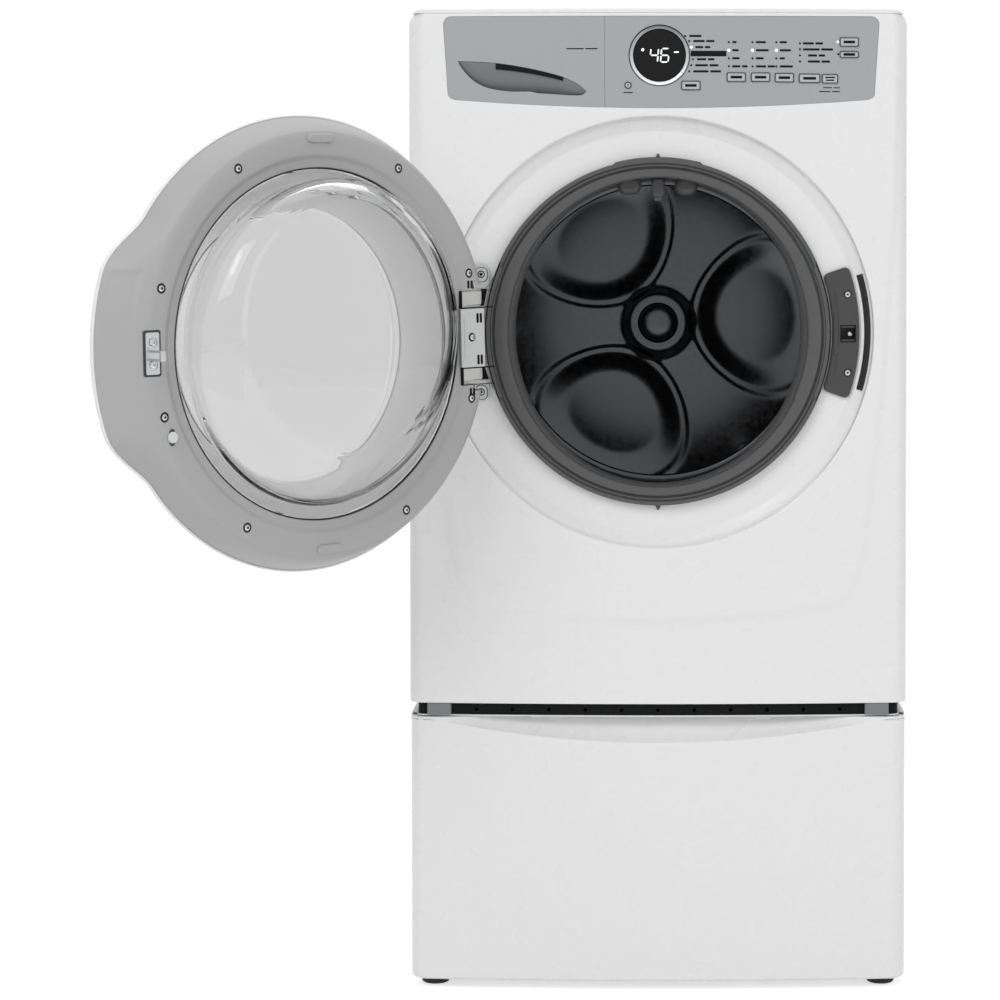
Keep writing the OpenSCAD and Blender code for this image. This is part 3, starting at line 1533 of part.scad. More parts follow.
module pedestal_cabinet()
  color(white) union() {
    difference() {
      box(-pedestal_half, pedestal_half, case_front_d, pedestal_back_d, foot_z, pedestal_top);
      box(-pedestal_half + sheet_t, pedestal_half - sheet_t,
        case_front_d - cut, pedestal_back_d - sheet_t, foot_z + sheet_t, pedestal_top + cut);
      // open floor
      box(-pedestal_half + 91, pedestal_half - 91, case_front_d + 77, pedestal_back_d - 75,
        foot_z - cut, foot_z + 2 * sheet_t);
      for (s = [-1, 1], d = [foot_d, cabinet_d - foot_d])
        translate([s * foot_x, front_y + d, foot_z - cut])
          cylinder(r = stem_r + seat, h = 3 * sheet_t);
    }
    // top sheet with a bowed lip
    plan_block(pedestal_w, plinth_in - 4, 0, case_front_d + top_lap, pedestal_top - sheet_t, pedestal_top);
    box(-pedestal_half + sheet_t / 2, pedestal_half - sheet_t / 2,
      case_front_d, pedestal_back_d - sheet_t / 2, pedestal_top - sheet_t, pedestal_top);
  }

foot_pad_h = 5;
foot_taper_h = 8;
nut_r = 11;
nut_h = 6;

module pedestal_feet()
  color([0.06, 0.06, 0.06]) for (s = [-1, 1], d = [foot_d, cabinet_d - foot_d])
    translate([s * foot_x, front_y + d, 0]) {
      cylinder(r = foot_r, h = foot_pad_h);
      translate([0, 0, foot_pad_h]) cylinder(r1 = foot_r, r2 = foot_r - 4, h = foot_taper_h);
      cylinder(r = stem_r, h = foot_z + 18);
      translate([0, 0, foot_z - nut_h]) cylinder(r = nut_r, h = nut_h);
    }

rail_play = 4.5;

module pedestal_rails()
  color(steel) for (s = [-1, 1]) mirror([s < 0 ? 1 : 0, 0, 0]) difference() {
    box(box_half + rail_play, pedestal_half - sheet_t, rail_d, rail_d + box_len, rail_z, rail_z + rail_h);
    box(box_half + rail_play - 0.5, pedestal_half - 3 * sheet_t, rail_d - cut, rail_d + box_len + cut,
      rail_z + rail_t, rail_z + rail_h - rail_t);
  }

module drawer_scoop(g) {
  r = (scoop_half * scoop_half + scoop_drop * scoop_drop) / (2 * scoop_drop);
  translate([0, front_y, drawer_z1 - scoop_drop - g]) rotate([scoop_slope - 90, 0, 0])
    translate([0, -r, -box_half]) cylinder(r = r, h = 2 * box_half + scoop_run, $fn = 360);
}

scoop_run = 90;
drawer_in = 0.5;
drawer_t = 2;
drawer_r = 7;

module drawer_front()
  color(white) difference() {
    intersection() {
      plan_block(pedestal_w, drawer_in, 0, drawer_wrap, drawer_z0, drawer_z1);
      face_plate(0, drawer_wrap)
        rounded_rect(-pedestal_half, pedestal_half, drawer_z0, drawer_z1 + drawer_r, drawer_r);
    }
    difference() {
      plan_block(pedestal_w, drawer_in + drawer_t, 0, drawer_wrap + cut,
        drawer_z0 + drawer_t, drawer_z1 - drawer_t);
      drawer_scoop(drawer_t);
      // back sheet that takes the drawer box
      difference() {
        box(-pedestal_half + 11, pedestal_half - 11, drawer_wrap - drawer_t, drawer_wrap + cut,
          drawer_z0, drawer_z1 - 57);
        box(-pedestal_half + 121, pedestal_half - 121, 0, drawer_wrap + 2 * cut,
          drawer_z0 + 57, drawer_z1 - 107);
      }
    }
    drawer_scoop(0);
  }

slide_t = 4.2;
slide_w = 20;
slide_z0 = rail_z + rail_t + gap;
slide_z1 = rail_z + rail_h - rail_t - gap;
slide_end = drawer_wrap + box_len - 2;

module drawer_box()
  color([0.8, 0.81, 0.82]) union() {
    difference() {
      box(-box_half, box_half, drawer_wrap, drawer_wrap + box_len, box_z0, box_z0 + box_h);
      box(-box_half + sheet_t, box_half - sheet_t, drawer_wrap + sheet_t, drawer_wrap + box_len - sheet_t,
        box_z0 + sheet_t, box_z0 + box_h + cut);
    }
    // sliding members
    for (s = [-1, 1]) mirror([s < 0 ? 1 : 0, 0, 0]) {
      box(box_half, box_half + slide_t, rail_d + 2, slide_end, slide_z0, slide_z1);
      box(box_half + 4, box_half + slide_w, rail_d + 50, slide_end, slide_z0, slide_z1);
    }
  }

// ---- keys ----

// Depth of the bowed face at x, and its slope there.
function bow_at(x) = bow_r - sqrt(bow_r * bow_r - x * x);

key_reach = 60;

// Space in front of a plane that follows the bow at x, d behind it.
module ahead_of(x, d)
  translate([x, front_y + bow_at(x) + d, console_z0 - 50]) rotate([0, 0, asin(x / bow_r)])
    translate([-key_reach, -key_reach, 0]) cube([2 * key_reach, key_reach, 2 * console_h]);

module key_cap(at, w, h)
  color([0.72, 0.73, 0.75]) union() {
    difference() {
      face_plate(-2 * key_proud, key_back_d)
        rounded_rect(at[0] - w / 2, at[0] + w / 2, at[1] - h / 2, at[1] + h / 2, key_r);
      ahead_of(at[0], -key_proud);
    }
    // lips that hold the key behind the fascia
    difference() {
      box(at[0] - w / 2, at[0] + w / 2, 0, key_back_d, at[1] - h / 2 - key_lip, at[1] + h / 2 + key_lip);
      ahead_of(at[0], face_in + gap);
    }
  }

module key_power()
  color([0.72, 0.73, 0.75]) union() {
    back_rod(at_power[0], at_power[1], key_power_r, -key_proud + 0.8, key_back_d);
    back_rod(at_power[0], at_power[1], key_power_r + key_lip, face_in + key_proud, key_back_d);
  }

module key_cycles() key_cap(at_cycles, key_w, key_h);
module key_temp() key_cap(at_temp, key_w, key_h);
module key_soil() key_cap(at_soil, key_w, key_h);
module key_spin() key_cap(at_spin, key_w, key_h);
module key_options() key_cap(at_options, key_options_w - 2 * key_gap, key_h);
module key_select() key_cap(at_select, key_select_w - 2 * key_gap, key_h);
module key_start() key_cap(at_start, key_w, key_h);
module key_cancel() key_cap(at_cancel, key_w, key_cancel_h);

// ---- what is drawn ----

cabinet_shell();
top_panel();
front_panel();
control_fascia();
display_bezel();
display_window();
control_board();
base_frame();
rear_panel();
washer_feet();
door_lock();
hinge_bracket();
bracket_screws();
recess_trim();
door_gasket();
inlet_valves();
dispenser_housing();
drain_pump();
sump_hose();
fill_hose();
drain_spigot();
power_inlet();
suspension_springs();
dampers();
pedestal_cabinet();
pedestal_feet();
pedestal_rails();
tub_front();
tub_rear();
counterweights();
shaft_bearings();
motor();
drive_belt();
drum();
drum_baffles();
drum_spider();
drum_pulley();
motor_pulley();
door_shell();
door_window();
door_frame();
door_glass();
door_arm();
hinge_pins();
door_screws();
door_strike();
door_bumper();
dispenser_front();
dispenser_tray();
drawer_front();
drawer_box();
key_power();
key_cycles();
key_temp();
key_soil();
key_spin();
key_options();
key_select();
key_start();
key_cancel();
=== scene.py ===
import json
import math

import bmesh
import bpy
from mathutils import Matrix, Vector


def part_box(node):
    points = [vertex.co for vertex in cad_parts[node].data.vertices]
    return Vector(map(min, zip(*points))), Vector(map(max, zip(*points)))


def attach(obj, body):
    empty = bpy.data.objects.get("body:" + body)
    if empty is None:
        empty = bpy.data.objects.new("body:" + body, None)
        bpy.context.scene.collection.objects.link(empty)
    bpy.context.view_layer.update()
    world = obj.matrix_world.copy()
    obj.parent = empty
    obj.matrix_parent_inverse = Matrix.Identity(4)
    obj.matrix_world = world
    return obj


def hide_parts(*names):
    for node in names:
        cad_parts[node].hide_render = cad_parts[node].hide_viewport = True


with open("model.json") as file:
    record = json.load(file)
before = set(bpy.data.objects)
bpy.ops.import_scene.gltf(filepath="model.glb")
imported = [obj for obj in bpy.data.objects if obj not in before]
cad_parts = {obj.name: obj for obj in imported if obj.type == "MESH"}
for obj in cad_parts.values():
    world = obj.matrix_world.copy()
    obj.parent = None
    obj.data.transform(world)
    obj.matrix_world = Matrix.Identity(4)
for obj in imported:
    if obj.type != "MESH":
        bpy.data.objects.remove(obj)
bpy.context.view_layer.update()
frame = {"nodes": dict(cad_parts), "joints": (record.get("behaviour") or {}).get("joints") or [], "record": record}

# ---- sizes, in metres ----

MM = 0.001
NODES = frame["nodes"]


def joint(name):
    return next(j for j in frame["joints"] if j["name"] == name)


# The crown of the bowed front, the porthole's axis and the cabinet's outline.
FRONT_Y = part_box("top_panel")[0].y
PORT_Z = (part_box("door_gasket")[0].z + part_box("door_gasket")[1].z) / 2
TOP_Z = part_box("top_panel")[1].z
HALF_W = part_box("front_panel")[1].x
WASHER_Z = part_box("front_panel")[0].z
PANEL_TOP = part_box("front_panel")[1].z
FRONT_BOW = 15 * MM
BOW_R = (HALF_W ** 2 + FRONT_BOW ** 2) / (2 * FRONT_BOW)
# In millimetres: the porthole's height, the hinge pin in x and depth, the screws of the bracket, the lock and
# the door's plate in x, the lock's two screws in height over the porthole, and the console's two ends.
PORT_UP = PORT_Z / MM
PIN_X, PIN_D = -272.5, -55.6
EAR_X, LOCK_X, PLATE_X = -242.8, 260.5, -240.4
LOCK_LOW, LOCK_HIGH = -55.6, 51.9
CONSOLE_X0, CONSOLE_X1 = -294, 303


def bow(x):
    """How far the front falls back from its crown at x."""
    return BOW_R - math.sqrt(BOW_R ** 2 - x * x)


# ---- colour and nodes ----


def linear(code):
    """An sRGB hex colour as linear RGBA."""
    parts = [int(code[i:i + 2], 16) / 255 for i in (1, 3, 5)]
    return tuple(c / 12.92 if c <= 0.04045 else ((c + 0.055) / 1.055) ** 2.4 for c in parts) + (1.0,)


def add(tree, kind, values=None, links=None, **settings):
    """Adds one node, with its own settings, its sockets' values and what feeds them."""
    made = tree.nodes.new(kind)
    for name, value in settings.items():
        setattr(made, name, value)
    for socket, value in (values or {}).items():
        made.inputs[socket].default_value = value
    for socket, source in (links or {}).items():
        tree.links.new(source, made.inputs[socket])
    return made


def finish(name, **values):
    """A new material with a Principled shader; returns it with its tree, shader and place."""
    made = bpy.data.materials.new(name)
    made.use_nodes = True
    tree = made.node_tree
    tree.nodes.clear()
    shader = add(tree, "ShaderNodeBsdfPrincipled")
    for socket, value in values.items():
        shader.inputs[socket.replace("_", " ")].default_value = value
    add(tree, "ShaderNodeOutputMaterial", links={"Surface": shader.outputs[0]})
    place = add(tree, "ShaderNodeTexCoord").outputs["Object"]
    return made, tree, shader, place


def grain(tree, shader, place, low, high, size, rough, bump, detail=3.0, stretch=(1, 1, 1)):
    """Mottles a finish between two colours and two roughnesses over grains of one size, with a bump."""
    turned = add(tree, "ShaderNodeMapping", {"Scale": stretch}, {"Vector": place})
    noise = add(tree, "ShaderNodeTexNoise", {"Scale": 1 / size, "Detail": detail},
                {"Vector": turned.outputs[0]})
    colour = add(tree, "ShaderNodeMix", {6: linear(low), 7: linear(high)},
                 {0: noise.outputs["Fac"]}, data_type="RGBA")
    gloss = add(tree, "ShaderNodeMapRange", {"From Min": 0.3, "From Max": 0.7, "To Min": rough[0],
                "To Max": rough[1]}, {"Value": noise.outputs["Fac"]})
    relief = add(tree, "ShaderNodeBump", {"Strength": 1.0, "Distance": bump},
                 {"Height": noise.outputs["Fac"]})
    tree.links.new(colour.outputs[2], shader.inputs["Base Color"])
    tree.links.new(gloss.outputs[0], shader.inputs["Roughness"])
    tree.links.new(relief.outputs[0], shader.inputs["Normal"])
    return noise


# ---- finishes ----


def powder_coated_steel():
    """White powder coat on pressed steel: an even gloss with a faint orange peel."""
    made, tree, shader, place = finish("powder_coated_steel", IOR=1.5, Coat_Weight=0.3, Coat_Roughness=0.12)
    grain(tree, shader, place, "#EDEDED", "#EDEDEE", 30 * MM, (0.27, 0.29), 0.0004 * MM, 0.0)
    return made


def silver_painted_abs():
    """Silver paint on moulded ABS: fine flakes that soften its highlights."""
    made, tree, shader, place = finish("silver_painted_abs", IOR=1.5, Metallic=0.25, Coat_Weight=0.15)
    grain(tree, shader, place, "#A0A1A3", "#A9AAAC", 0.5 * MM, (0.36, 0.46), 0.01 * MM)
    return made


def silver_key_abs():
    """Moulded key caps in the console's silver, a shade lighter and smoother."""
    made, tree, shader, place = finish("silver_key_abs", IOR=1.5, Metallic=0.2)
    grain(tree, shader, place, "#B4B5B7", "#BCBDBF", 0.5 * MM, (0.34, 0.42), 0.008 * MM)
    return made


def smoked_acrylic():
    """Black gloss acrylic over the display: a mirror skin on a deep black."""
    made, tree, shader, place = finish("smoked_acrylic", IOR=1.49, Specular_IOR_Level=0.22)
    grain(tree, shader, place, "#070708", "#0B0B0D", 6 * MM, (0.08, 0.12), 0.002 * MM)
    return made


def satin_chrome():
    """Satin chrome plate on a moulded ring: bright, with a soft reflection."""
    made, tree, shader, place = finish("satin_chrome", Metallic=1.0)
    grain(tree, shader, place, "#E6E7E9", "#F0F1F2", 3 * MM, (0.16, 0.24), 0.004 * MM)
    # painted shade: the ring's colour darkens towards the top, standing in for the darker reflection it shows
    # there
    height = add(tree, "ShaderNodeSeparateXYZ", links={0: place}).outputs[2]
    share = add(tree, "ShaderNodeMapRange", {"From Min": TOP_Z - 0.098, "From Max": TOP_Z - 0.028,
                                             "To Min": 0.0, "To Max": 1.0},
                {"Value": height})
    plain = shader.inputs["Base Color"].links[0].from_socket
    colour = add(tree, "ShaderNodeMix", {7: linear("#7E8082")}, {0: share.outputs[0], 6: plain},
                 data_type="RGBA")
    tree.links.new(colour.outputs[2], shader.inputs["Base Color"])
    return made


def shadowed_abs():
    """Silver ABS painted darker as painted shade, for the dispenser's finger scoop and the washer's feet in the
    shadow gap.
    """
    made, tree, shader, place = finish("shadowed_abs", IOR=1.5, Metallic=0.2)
    grain(tree, shader, place, "#737476", "#7E7F81", 0.6 * MM, (0.4, 0.5), 0.008 * MM)
    return made


def circuit_board():
    """Green solder resist on glass fibre, with the weave faint under it."""
    made, tree, shader, place = finish("circuit_board", IOR=1.55, Coat_Weight=0.4)
    grain(tree, shader, place, "#1C5230", "#2A6B40", 1.2 * MM, (0.35, 0.5), 0.03 * MM)
    return made


def galvanised_sheet():
    """Hot dip galvanised steel: crystals of zinc, each its own grey."""
    made, tree, shader, place = finish("galvanised_sheet", Metallic=0.9)
    cells = add(tree, "ShaderNodeTexVoronoi", {"Scale": 1 / (9 * MM)}, {"Vector": place})
    tone = add(tree, "ShaderNodeSeparateColor", links={0: cells.outputs["Color"]})
    colour = add(tree, "ShaderNodeMix", {6: linear("#A4A6A7"), 7: linear("#B2B4B5")},
                 {0: tone.outputs[0]}, data_type="RGBA")
    gloss = add(tree, "ShaderNodeMapRange", {"To Min": 0.34, "To Max": 0.5}, {"Value": tone.outputs[1]})
    tree.links.new(colour.outputs[2], shader.inputs["Base Color"])
    tree.links.new(gloss.outputs[0], shader.inputs["Roughness"])
    return made


def charcoal_polypropylene():
    """Dark moulded polypropylene with a spark eroded grain."""
    made, tree, shader, place = finish("charcoal_polypropylene", IOR=1.49)
    grain(tree, shader, place, "#38383A", "#414142", 0.8 * MM, (0.42, 0.56), 0.03 * MM)
    return made


def pale_polypropylene():
    """Light grey moulded polypropylene with a fine grain."""
    made, tree, shader, place = finish("pale_polypropylene", IOR=1.49, Subsurface_Weight=0.05)
    grain(tree, shader, place, "#A9AAAA", "#B3B4B4", 0.9 * MM, (0.4, 0.52), 0.02 * MM)
    return made


def filled_polypropylene():
    """Glass filled polypropylene of the tub: off white, a little cloudy and dull."""
    made, tree, shader, place = finish("filled_polypropylene", IOR=1.49, Subsurface_Weight=0.05)
    grain(tree, shader, place, "#D4D6D3", "#E0E1DE", 5 * MM, (0.45, 0.6), 0.05 * MM)
    return made


def grey_epdm():
    """Grey EPDM rubber of the door seal: matt, with a soft bloom."""
    made, tree, shader, place = finish("grey_epdm", IOR=1.52, Sheen_Weight=0.06, Sheen_Roughness=0.5)
    grain(tree, shader, place, "#4A4A4B", "#525253", 3 * MM, (0.46, 0.6), 0.03 * MM, 6.0)
    return made


def black_rubber():
    """Black moulded rubber with a dusty grain."""
    made, tree, shader, place = finish("black_rubber", IOR=1.52)
    grain(tree, shader, place, "#161617", "#222224", 1.5 * MM, (0.6, 0.78), 0.05 * MM, 5.0)
    return made


def grey_abs_frame():
    """Satin grey ABS of the door's inner frame with a fine moulded grain."""
    made, tree, shader, place = finish("grey_abs_frame", IOR=1.52)
    grain(tree, shader, place, "#A9A9AA", "#B0B0B1", 0.6 * MM, (0.36, 0.46), 0.012 * MM)
    return made


def pressed_glass():
    """Clear pressed borosilicate glass with slow waves left by the press."""
    made, tree, shader, place = finish("pressed_glass", IOR=1.47, Transmission_Weight=1.0,
                                       Base_Color=linear("#FAFAFA"), Roughness=0.0)
    wave = add(tree, "ShaderNodeTexNoise", {"Scale": 1 / (140 * MM), "Detail": 0.0}, {"Vector": place})
    relief = add(tree, "ShaderNodeBump", {"Strength": 0.15, "Distance": 0.05 * MM},
                 {"Height": wave.outputs["Fac"]})
    tree.links.new(relief.outputs[0], shader.inputs["Normal"])
    return made


def tinted_polycarbonate():
    """Lightly smoked polycarbonate of the door's outer window."""
    made, tree, shader, place = finish("tinted_polycarbonate", IOR=1.58, Transmission_Weight=1.0,
                                       Base_Color=linear("#CBCBCB"), Roughness=0.02)
    wave = add(tree, "ShaderNodeTexNoise", {"Scale": 1 / (160 * MM), "Detail": 0.0}, {"Vector": place})
    relief = add(tree, "ShaderNodeBump", {"Strength": 0.3, "Distance": 0.1 * MM},
                 {"Height": wave.outputs["Fac"]})
    tree.links.new(relief.outputs[0], shader.inputs["Normal"])
    return made


def bright_annealed_stainless():
    """Bright annealed stainless of the drum, punched all over with small holes 12 mm apart, drawn as dots of
    painted shade.
    """
    made, tree, shader, place = finish("bright_annealed_stainless", Metallic=1.0)
    grain(tree, shader, place, "#434446", "#505153", 9 * MM, (0.16, 0.24), 0.004 * MM, 3.0, (1, 0.12, 1))
    parts = add(tree, "ShaderNodeSeparateXYZ", links={0: place})
    height = add(tree, "ShaderNodeMath", {1: PORT_Z}, {0: parts.outputs[2]}, operation="SUBTRACT")
    turn = add(tree, "ShaderNodeMath", {}, {0: height.outputs[0], 1: parts.outputs[0]}, operation="ARCTAN2")
    # painted shade: the holes are near-black dots, the shade seen through them; 144 round the wall, in rows 12 mm
    # apart, every other row offset by half
    row = add(tree, "ShaderNodeMath", {1: 1 / (12 * MM)}, {0: parts.outputs[1]}, operation="MULTIPLY")
    odd = add(tree, "ShaderNodeMath", {1: 2.0}, {0: add(tree, "ShaderNodeMath", {}, {0: row.outputs[0]},
              operation="FLOOR").outputs[0]}, operation="FLOORED_MODULO")
    half = add(tree, "ShaderNodeMath", {1: 0.5}, {0: odd.outputs[0]}, operation="MULTIPLY")
    round_wall = add(tree, "ShaderNodeMath", {1: 144 / math.tau}, {0: turn.outputs[0]},
                     operation="MULTIPLY")
    column = add(tree, "ShaderNodeMath", {}, {0: round_wall.outputs[0], 1: half.outputs[0]},
                 operation="ADD")
    reach = []
    for line in (row, column):
        part = add(tree, "ShaderNodeMath", {}, {0: line.outputs[0]}, operation="FRACT")
        off = add(tree, "ShaderNodeMath", {1: 0.5}, {0: part.outputs[0]}, operation="SUBTRACT")
        reach.append(add(tree, "ShaderNodeMath", {1: 2.0}, {0: off.outputs[0]}, operation="POWER"))
    gone = add(tree, "ShaderNodeMath", {}, {0: reach[0].outputs[0], 1: reach[1].outputs[0]},
               operation="ADD")
    hole = add(tree, "ShaderNodeMapRange", {"From Min": 0.02, "From Max": 0.032, "To Min": 1.0,
                                            "To Max": 0.0},
               {"Value": gone.outputs[0]})
    # only the wall gets the painted holes: far from the axis and between the front and the back
    away = add(tree, "ShaderNodeVectorMath", links={0: add(tree, "ShaderNodeCombineXYZ", {},
                                                           {0: parts.outputs[0],
               2: height.outputs[0]}).outputs[0]}, operation="LENGTH")
    on_wall = add(tree, "ShaderNodeMath", {1: 0.2745}, {0: away.outputs["Value"]}, operation="GREATER_THAN")
    drum_hole_shade = add(tree, "ShaderNodeMath", {}, {0: hole.outputs[0], 1: on_wall.outputs[0]},
                  operation="MULTIPLY")
    plain = shader.inputs["Base Color"].links[0].from_socket
    colour = add(tree, "ShaderNodeMix", {7: linear("#0C0C0D")}, {0: drum_hole_shade.outputs[0], 6: plain},
                 data_type="RGBA")
    tree.links.new(colour.outputs[2], shader.inputs["Base Color"])
    return made


def zinc_plated_steel():
    """Zinc plated screws and plates: bright, a little blue, with turned marks."""
    made, tree, shader, place = finish("zinc_plated_steel", Metallic=1.0)
    grain(tree, shader, place, "#B9BABB", "#CACBCC", 0.7 * MM, (0.24, 0.38), 0.01 * MM)
    return made


def cast_aluminium():
    """Die cast aluminium: pale grey with a sandy skin."""
    made, tree, shader, place = finish("cast_aluminium", Metallic=0.3)
    grain(tree, shader, place, "#C2C3C4", "#CFD0D0", 1.1 * MM, (0.38, 0.54), 0.04 * MM, 5.0)
    return made


def cast_concrete():
    """Concrete of the counterweights: sandy grey with open pores."""
    made, tree, shader, place = finish("cast_concrete", IOR=1.5)
    grain(tree, shader, place, "#7C7B76", "#99978F", 4 * MM, (0.75, 0.95), 0.5 * MM, 8.0)
    return made


def enamelled_motor_steel():
    """Dark enamel on the motor's drawn can."""
    made, tree, shader, place = finish("enamelled_motor_steel", IOR=1.5, Metallic=0.3)
    grain(tree, shader, place, "#5A5D61", "#65686C", 1.5 * MM, (0.35, 0.5), 0.02 * MM)
    return made


def ribbed_belt_rubber():
    """Fabric backed rubber of the ribbed drive belt."""
    made, tree, shader, place = finish("ribbed_belt_rubber", IOR=1.52)
    grain(tree, shader, place, "#1A1A1B", "#262627", 1.0 * MM, (0.7, 0.85), 0.08 * MM, 5.0)
    return made


def window_border():
    """The window's pale border: its colour is lightened as painted light, standing in for light shining through it
    from behind.
    """
    made, tree, shader, spot = finish("printed_window_border", IOR=1.5)
    grain(tree, shader, spot, "#DEDEDE", "#E2E2E2", 1.2 * MM, (0.34, 0.42), 0.01 * MM)
    return made


def pad_ink_and_painted_shade():
    """Dark grey ink pad printed on the console: dull and a little uneven; the same near-black is laid as painted
    shade in gaps, slots and notches.
    """
    made, tree, shader, place = finish("pad_ink_and_painted_shade", IOR=1.5, Specular_IOR_Level=0.12)
    grain(tree, shader, place, "#111112", "#1A1B1C", 0.5 * MM, (0.6, 0.75), 0.005 * MM)
    return made


def painted_light_arm_alloy():
    """Die cast zinc of the hinge's arms with a sandy skin, coloured very pale: painted light for the arms that sit
    in the notches' shade.
    """
    made, tree, shader, place = finish("painted_light_arm_alloy", IOR=1.5)
    grain(tree, shader, place, "#ECECEA", "#F4F4F2", 1.1 * MM, (0.4, 0.55), 0.03 * MM)
    return made


def lit_diodes():
    """White diodes behind a diffusing mask: an even glow."""
    made, tree, shader, place = finish("lit_diodes", IOR=1.5, Emission_Color=linear("#F4F8FA"),
                                       Emission_Strength=0.85)
    grain(tree, shader, place, "#E6EAEC", "#F2F4F5", 1.0 * MM, (0.3, 0.4), 0.003 * MM)
    return made


FINISHES = {
    "white_paint": powder_coated_steel(),
    "console_plastic": silver_painted_abs(),
    "key_plastic": silver_key_abs(),
    "display_black": smoked_acrylic(),
    "bright_ring": satin_chrome(),
    "board": circuit_board(),
    "galvanised": galvanised_sheet(),
    "dark_plastic": charcoal_polypropylene(),
    "light_plastic": pale_polypropylene(),
    "tub_plastic": filled_polypropylene(),
    "gasket_rubber": grey_epdm(),
    "black_rubber": black_rubber(),
    "frame_plastic": grey_abs_frame(),
    "clear_glass": pressed_glass(),
    "window_plastic": tinted_polycarbonate(),
    "stainless": bright_annealed_stainless(),
    "bright_steel": zinc_plated_steel(),
    "cast_metal": cast_aluminium(),
    "concrete": cast_concrete(),
    "motor_metal": enamelled_motor_steel(),
    "belt_rubber": ribbed_belt_rubber(),
    "ink_and_painted_shade": pad_ink_and_painted_shade(),
    "painted_light_alloy": painted_light_arm_alloy(),
    "painted_shade_plastic": shadowed_abs(),
    "lit_digits": lit_diodes(),
}


def dress_nodes():
    """Gives each CAD node the finish of its slot."""
    for part in frame["record"]["subparts"]:
        mesh = NODES[part["node"]].data
        mesh.materials.clear()
        # painted shade: the two parts in the shadow gap get darker finishes of their own, standing in for the
        # shade there
        own = {"base_frame": "ink_and_painted_shade", "washer_feet": "painted_shade_plastic"}.get(part["node"])
        mesh.materials.append(FINISHES[own or part["material_slot"]])


dress_nodes()


# ---- shaping tools ----


def start():
    """Leaves edit mode and lets go of everything, before a new primitive."""
    if bpy.context.object and bpy.context.object.mode != "OBJECT":
        bpy.ops.object.mode_set(mode="OBJECT")
    bpy.ops.object.select_all(action="DESELECT")


def settle(piece):
    """Puts the object's place, turn and scale into its mesh."""
    start()
    piece.select_set(True)
    bpy.context.view_layer.objects.active = piece
    bpy.ops.object.transform_apply(location=True, rotation=True, scale=True)


def tidy_mesh(piece, close=0.00002, angle=35):
    """Merges doubles, turns the faces outwards and smooths all but the sharp edges."""
    start()
    piece.select_set(True)
    bpy.context.view_layer.objects.active = piece
    bpy.ops.object.mode_set(mode="EDIT")
    bpy.ops.mesh.select_all(action="SELECT")
    bpy.ops.mesh.remove_doubles(threshold=close)
    bpy.ops.mesh.normals_make_consistent(inside=False)
    bpy.ops.object.mode_set(mode="OBJECT")
    bpy.ops.object.shade_smooth_by_angle(angle=math.radians(angle))


def use(piece, kind, **settings):
    """Adds a modifier with its settings and applies it."""
    made = piece.modifiers.new(kind.lower(), kind)
    for name, value in settings.items():
        setattr(made, name, value)
    bpy.context.view_layer.objects.active = piece
    bpy.ops.object.modifier_apply(modifier=made.name)


def round_edges(piece, width, angle=32, segments=2):
    """Bevels every edge sharper than the angle."""
    use(piece, "BEVEL", width=width, segments=segments, limit_method="ANGLE",
        angle_limit=math.radians(angle), harden_normals=False, use_clamp_overlap=True)
    start()
    piece.select_set(True)
    bpy.context.view_layer.objects.active = piece
    bpy.ops.object.shade_smooth_by_angle(angle=math.radians(40))


def outline(name, points):
    """A flat face through the points, in metres, started from a circle of as many corners."""
    start()
    bpy.ops.mesh.primitive_circle_add(vertices=len(points), radius=0.01, fill_type="NGON")
    piece = bpy.context.object
    piece.name = piece.data.name = name
    for vertex, point in zip(piece.data.vertices, points):
        vertex.co = point
    return piece


def spun(name, profile, steps=180, angle=360, turn=0, closed=True):
    """Spins a profile of radius and depth, in millimetres, round the porthole's axis."""
    start()
    bpy.ops.mesh.primitive_circle_add(vertices=len(profile), radius=0.01)
    piece = bpy.context.object
    piece.name = piece.data.name = name
    for vertex, (radius, depth) in zip(piece.data.vertices, profile):
        vertex.co = (radius * MM, FRONT_Y + depth * MM, PORT_Z)
    bpy.ops.object.mode_set(mode="EDIT")
    if not closed:
        shape = bmesh.from_edit_mesh(piece.data)
        shape.verts.ensure_lookup_table()
        ends = {shape.verts[0], shape.verts[len(profile) - 1]}
        bmesh.ops.delete(shape, geom=[e for e in shape.edges if set(e.verts) == ends],
                         context="EDGES_FACES")
        bmesh.update_edit_mesh(piece.data)
    bpy.ops.mesh.select_all(action="SELECT")
    bpy.ops.mesh.spin(steps=steps, angle=math.radians(angle), center=(0, FRONT_Y, PORT_Z), axis=(0, -1, 0))
    bpy.ops.object.mode_set(mode="OBJECT")
    if angle < 360:
        cap_ends(piece)
    if turn:
        turn_about_port(piece, turn)
    tidy_mesh(piece)
    return piece


def cap_ends(piece):
    """Closes the two open ends of a part that is spun less than all the way."""
    start()
    piece.select_set(True)
    bpy.context.view_layer.objects.active = piece
    bpy.ops.object.mode_set(mode="EDIT")
    bpy.ops.mesh.select_all(action="DESELECT")
    bpy.ops.mesh.select_non_manifold(extend=False)
    bpy.ops.mesh.edge_face_add()
    bpy.ops.object.mode_set(mode="OBJECT")


def turn_about_port(piece, degrees):
    """Turns a mesh about the porthole's axis, anticlockwise seen from the front."""
    centre = Vector((0, 0, PORT_Z))
    way = Matrix.Translation(centre) @ Matrix.Rotation(-math.radians(degrees), 4,
                                                       "Y") @ Matrix.Translation(-centre)
    piece.data.transform(way)


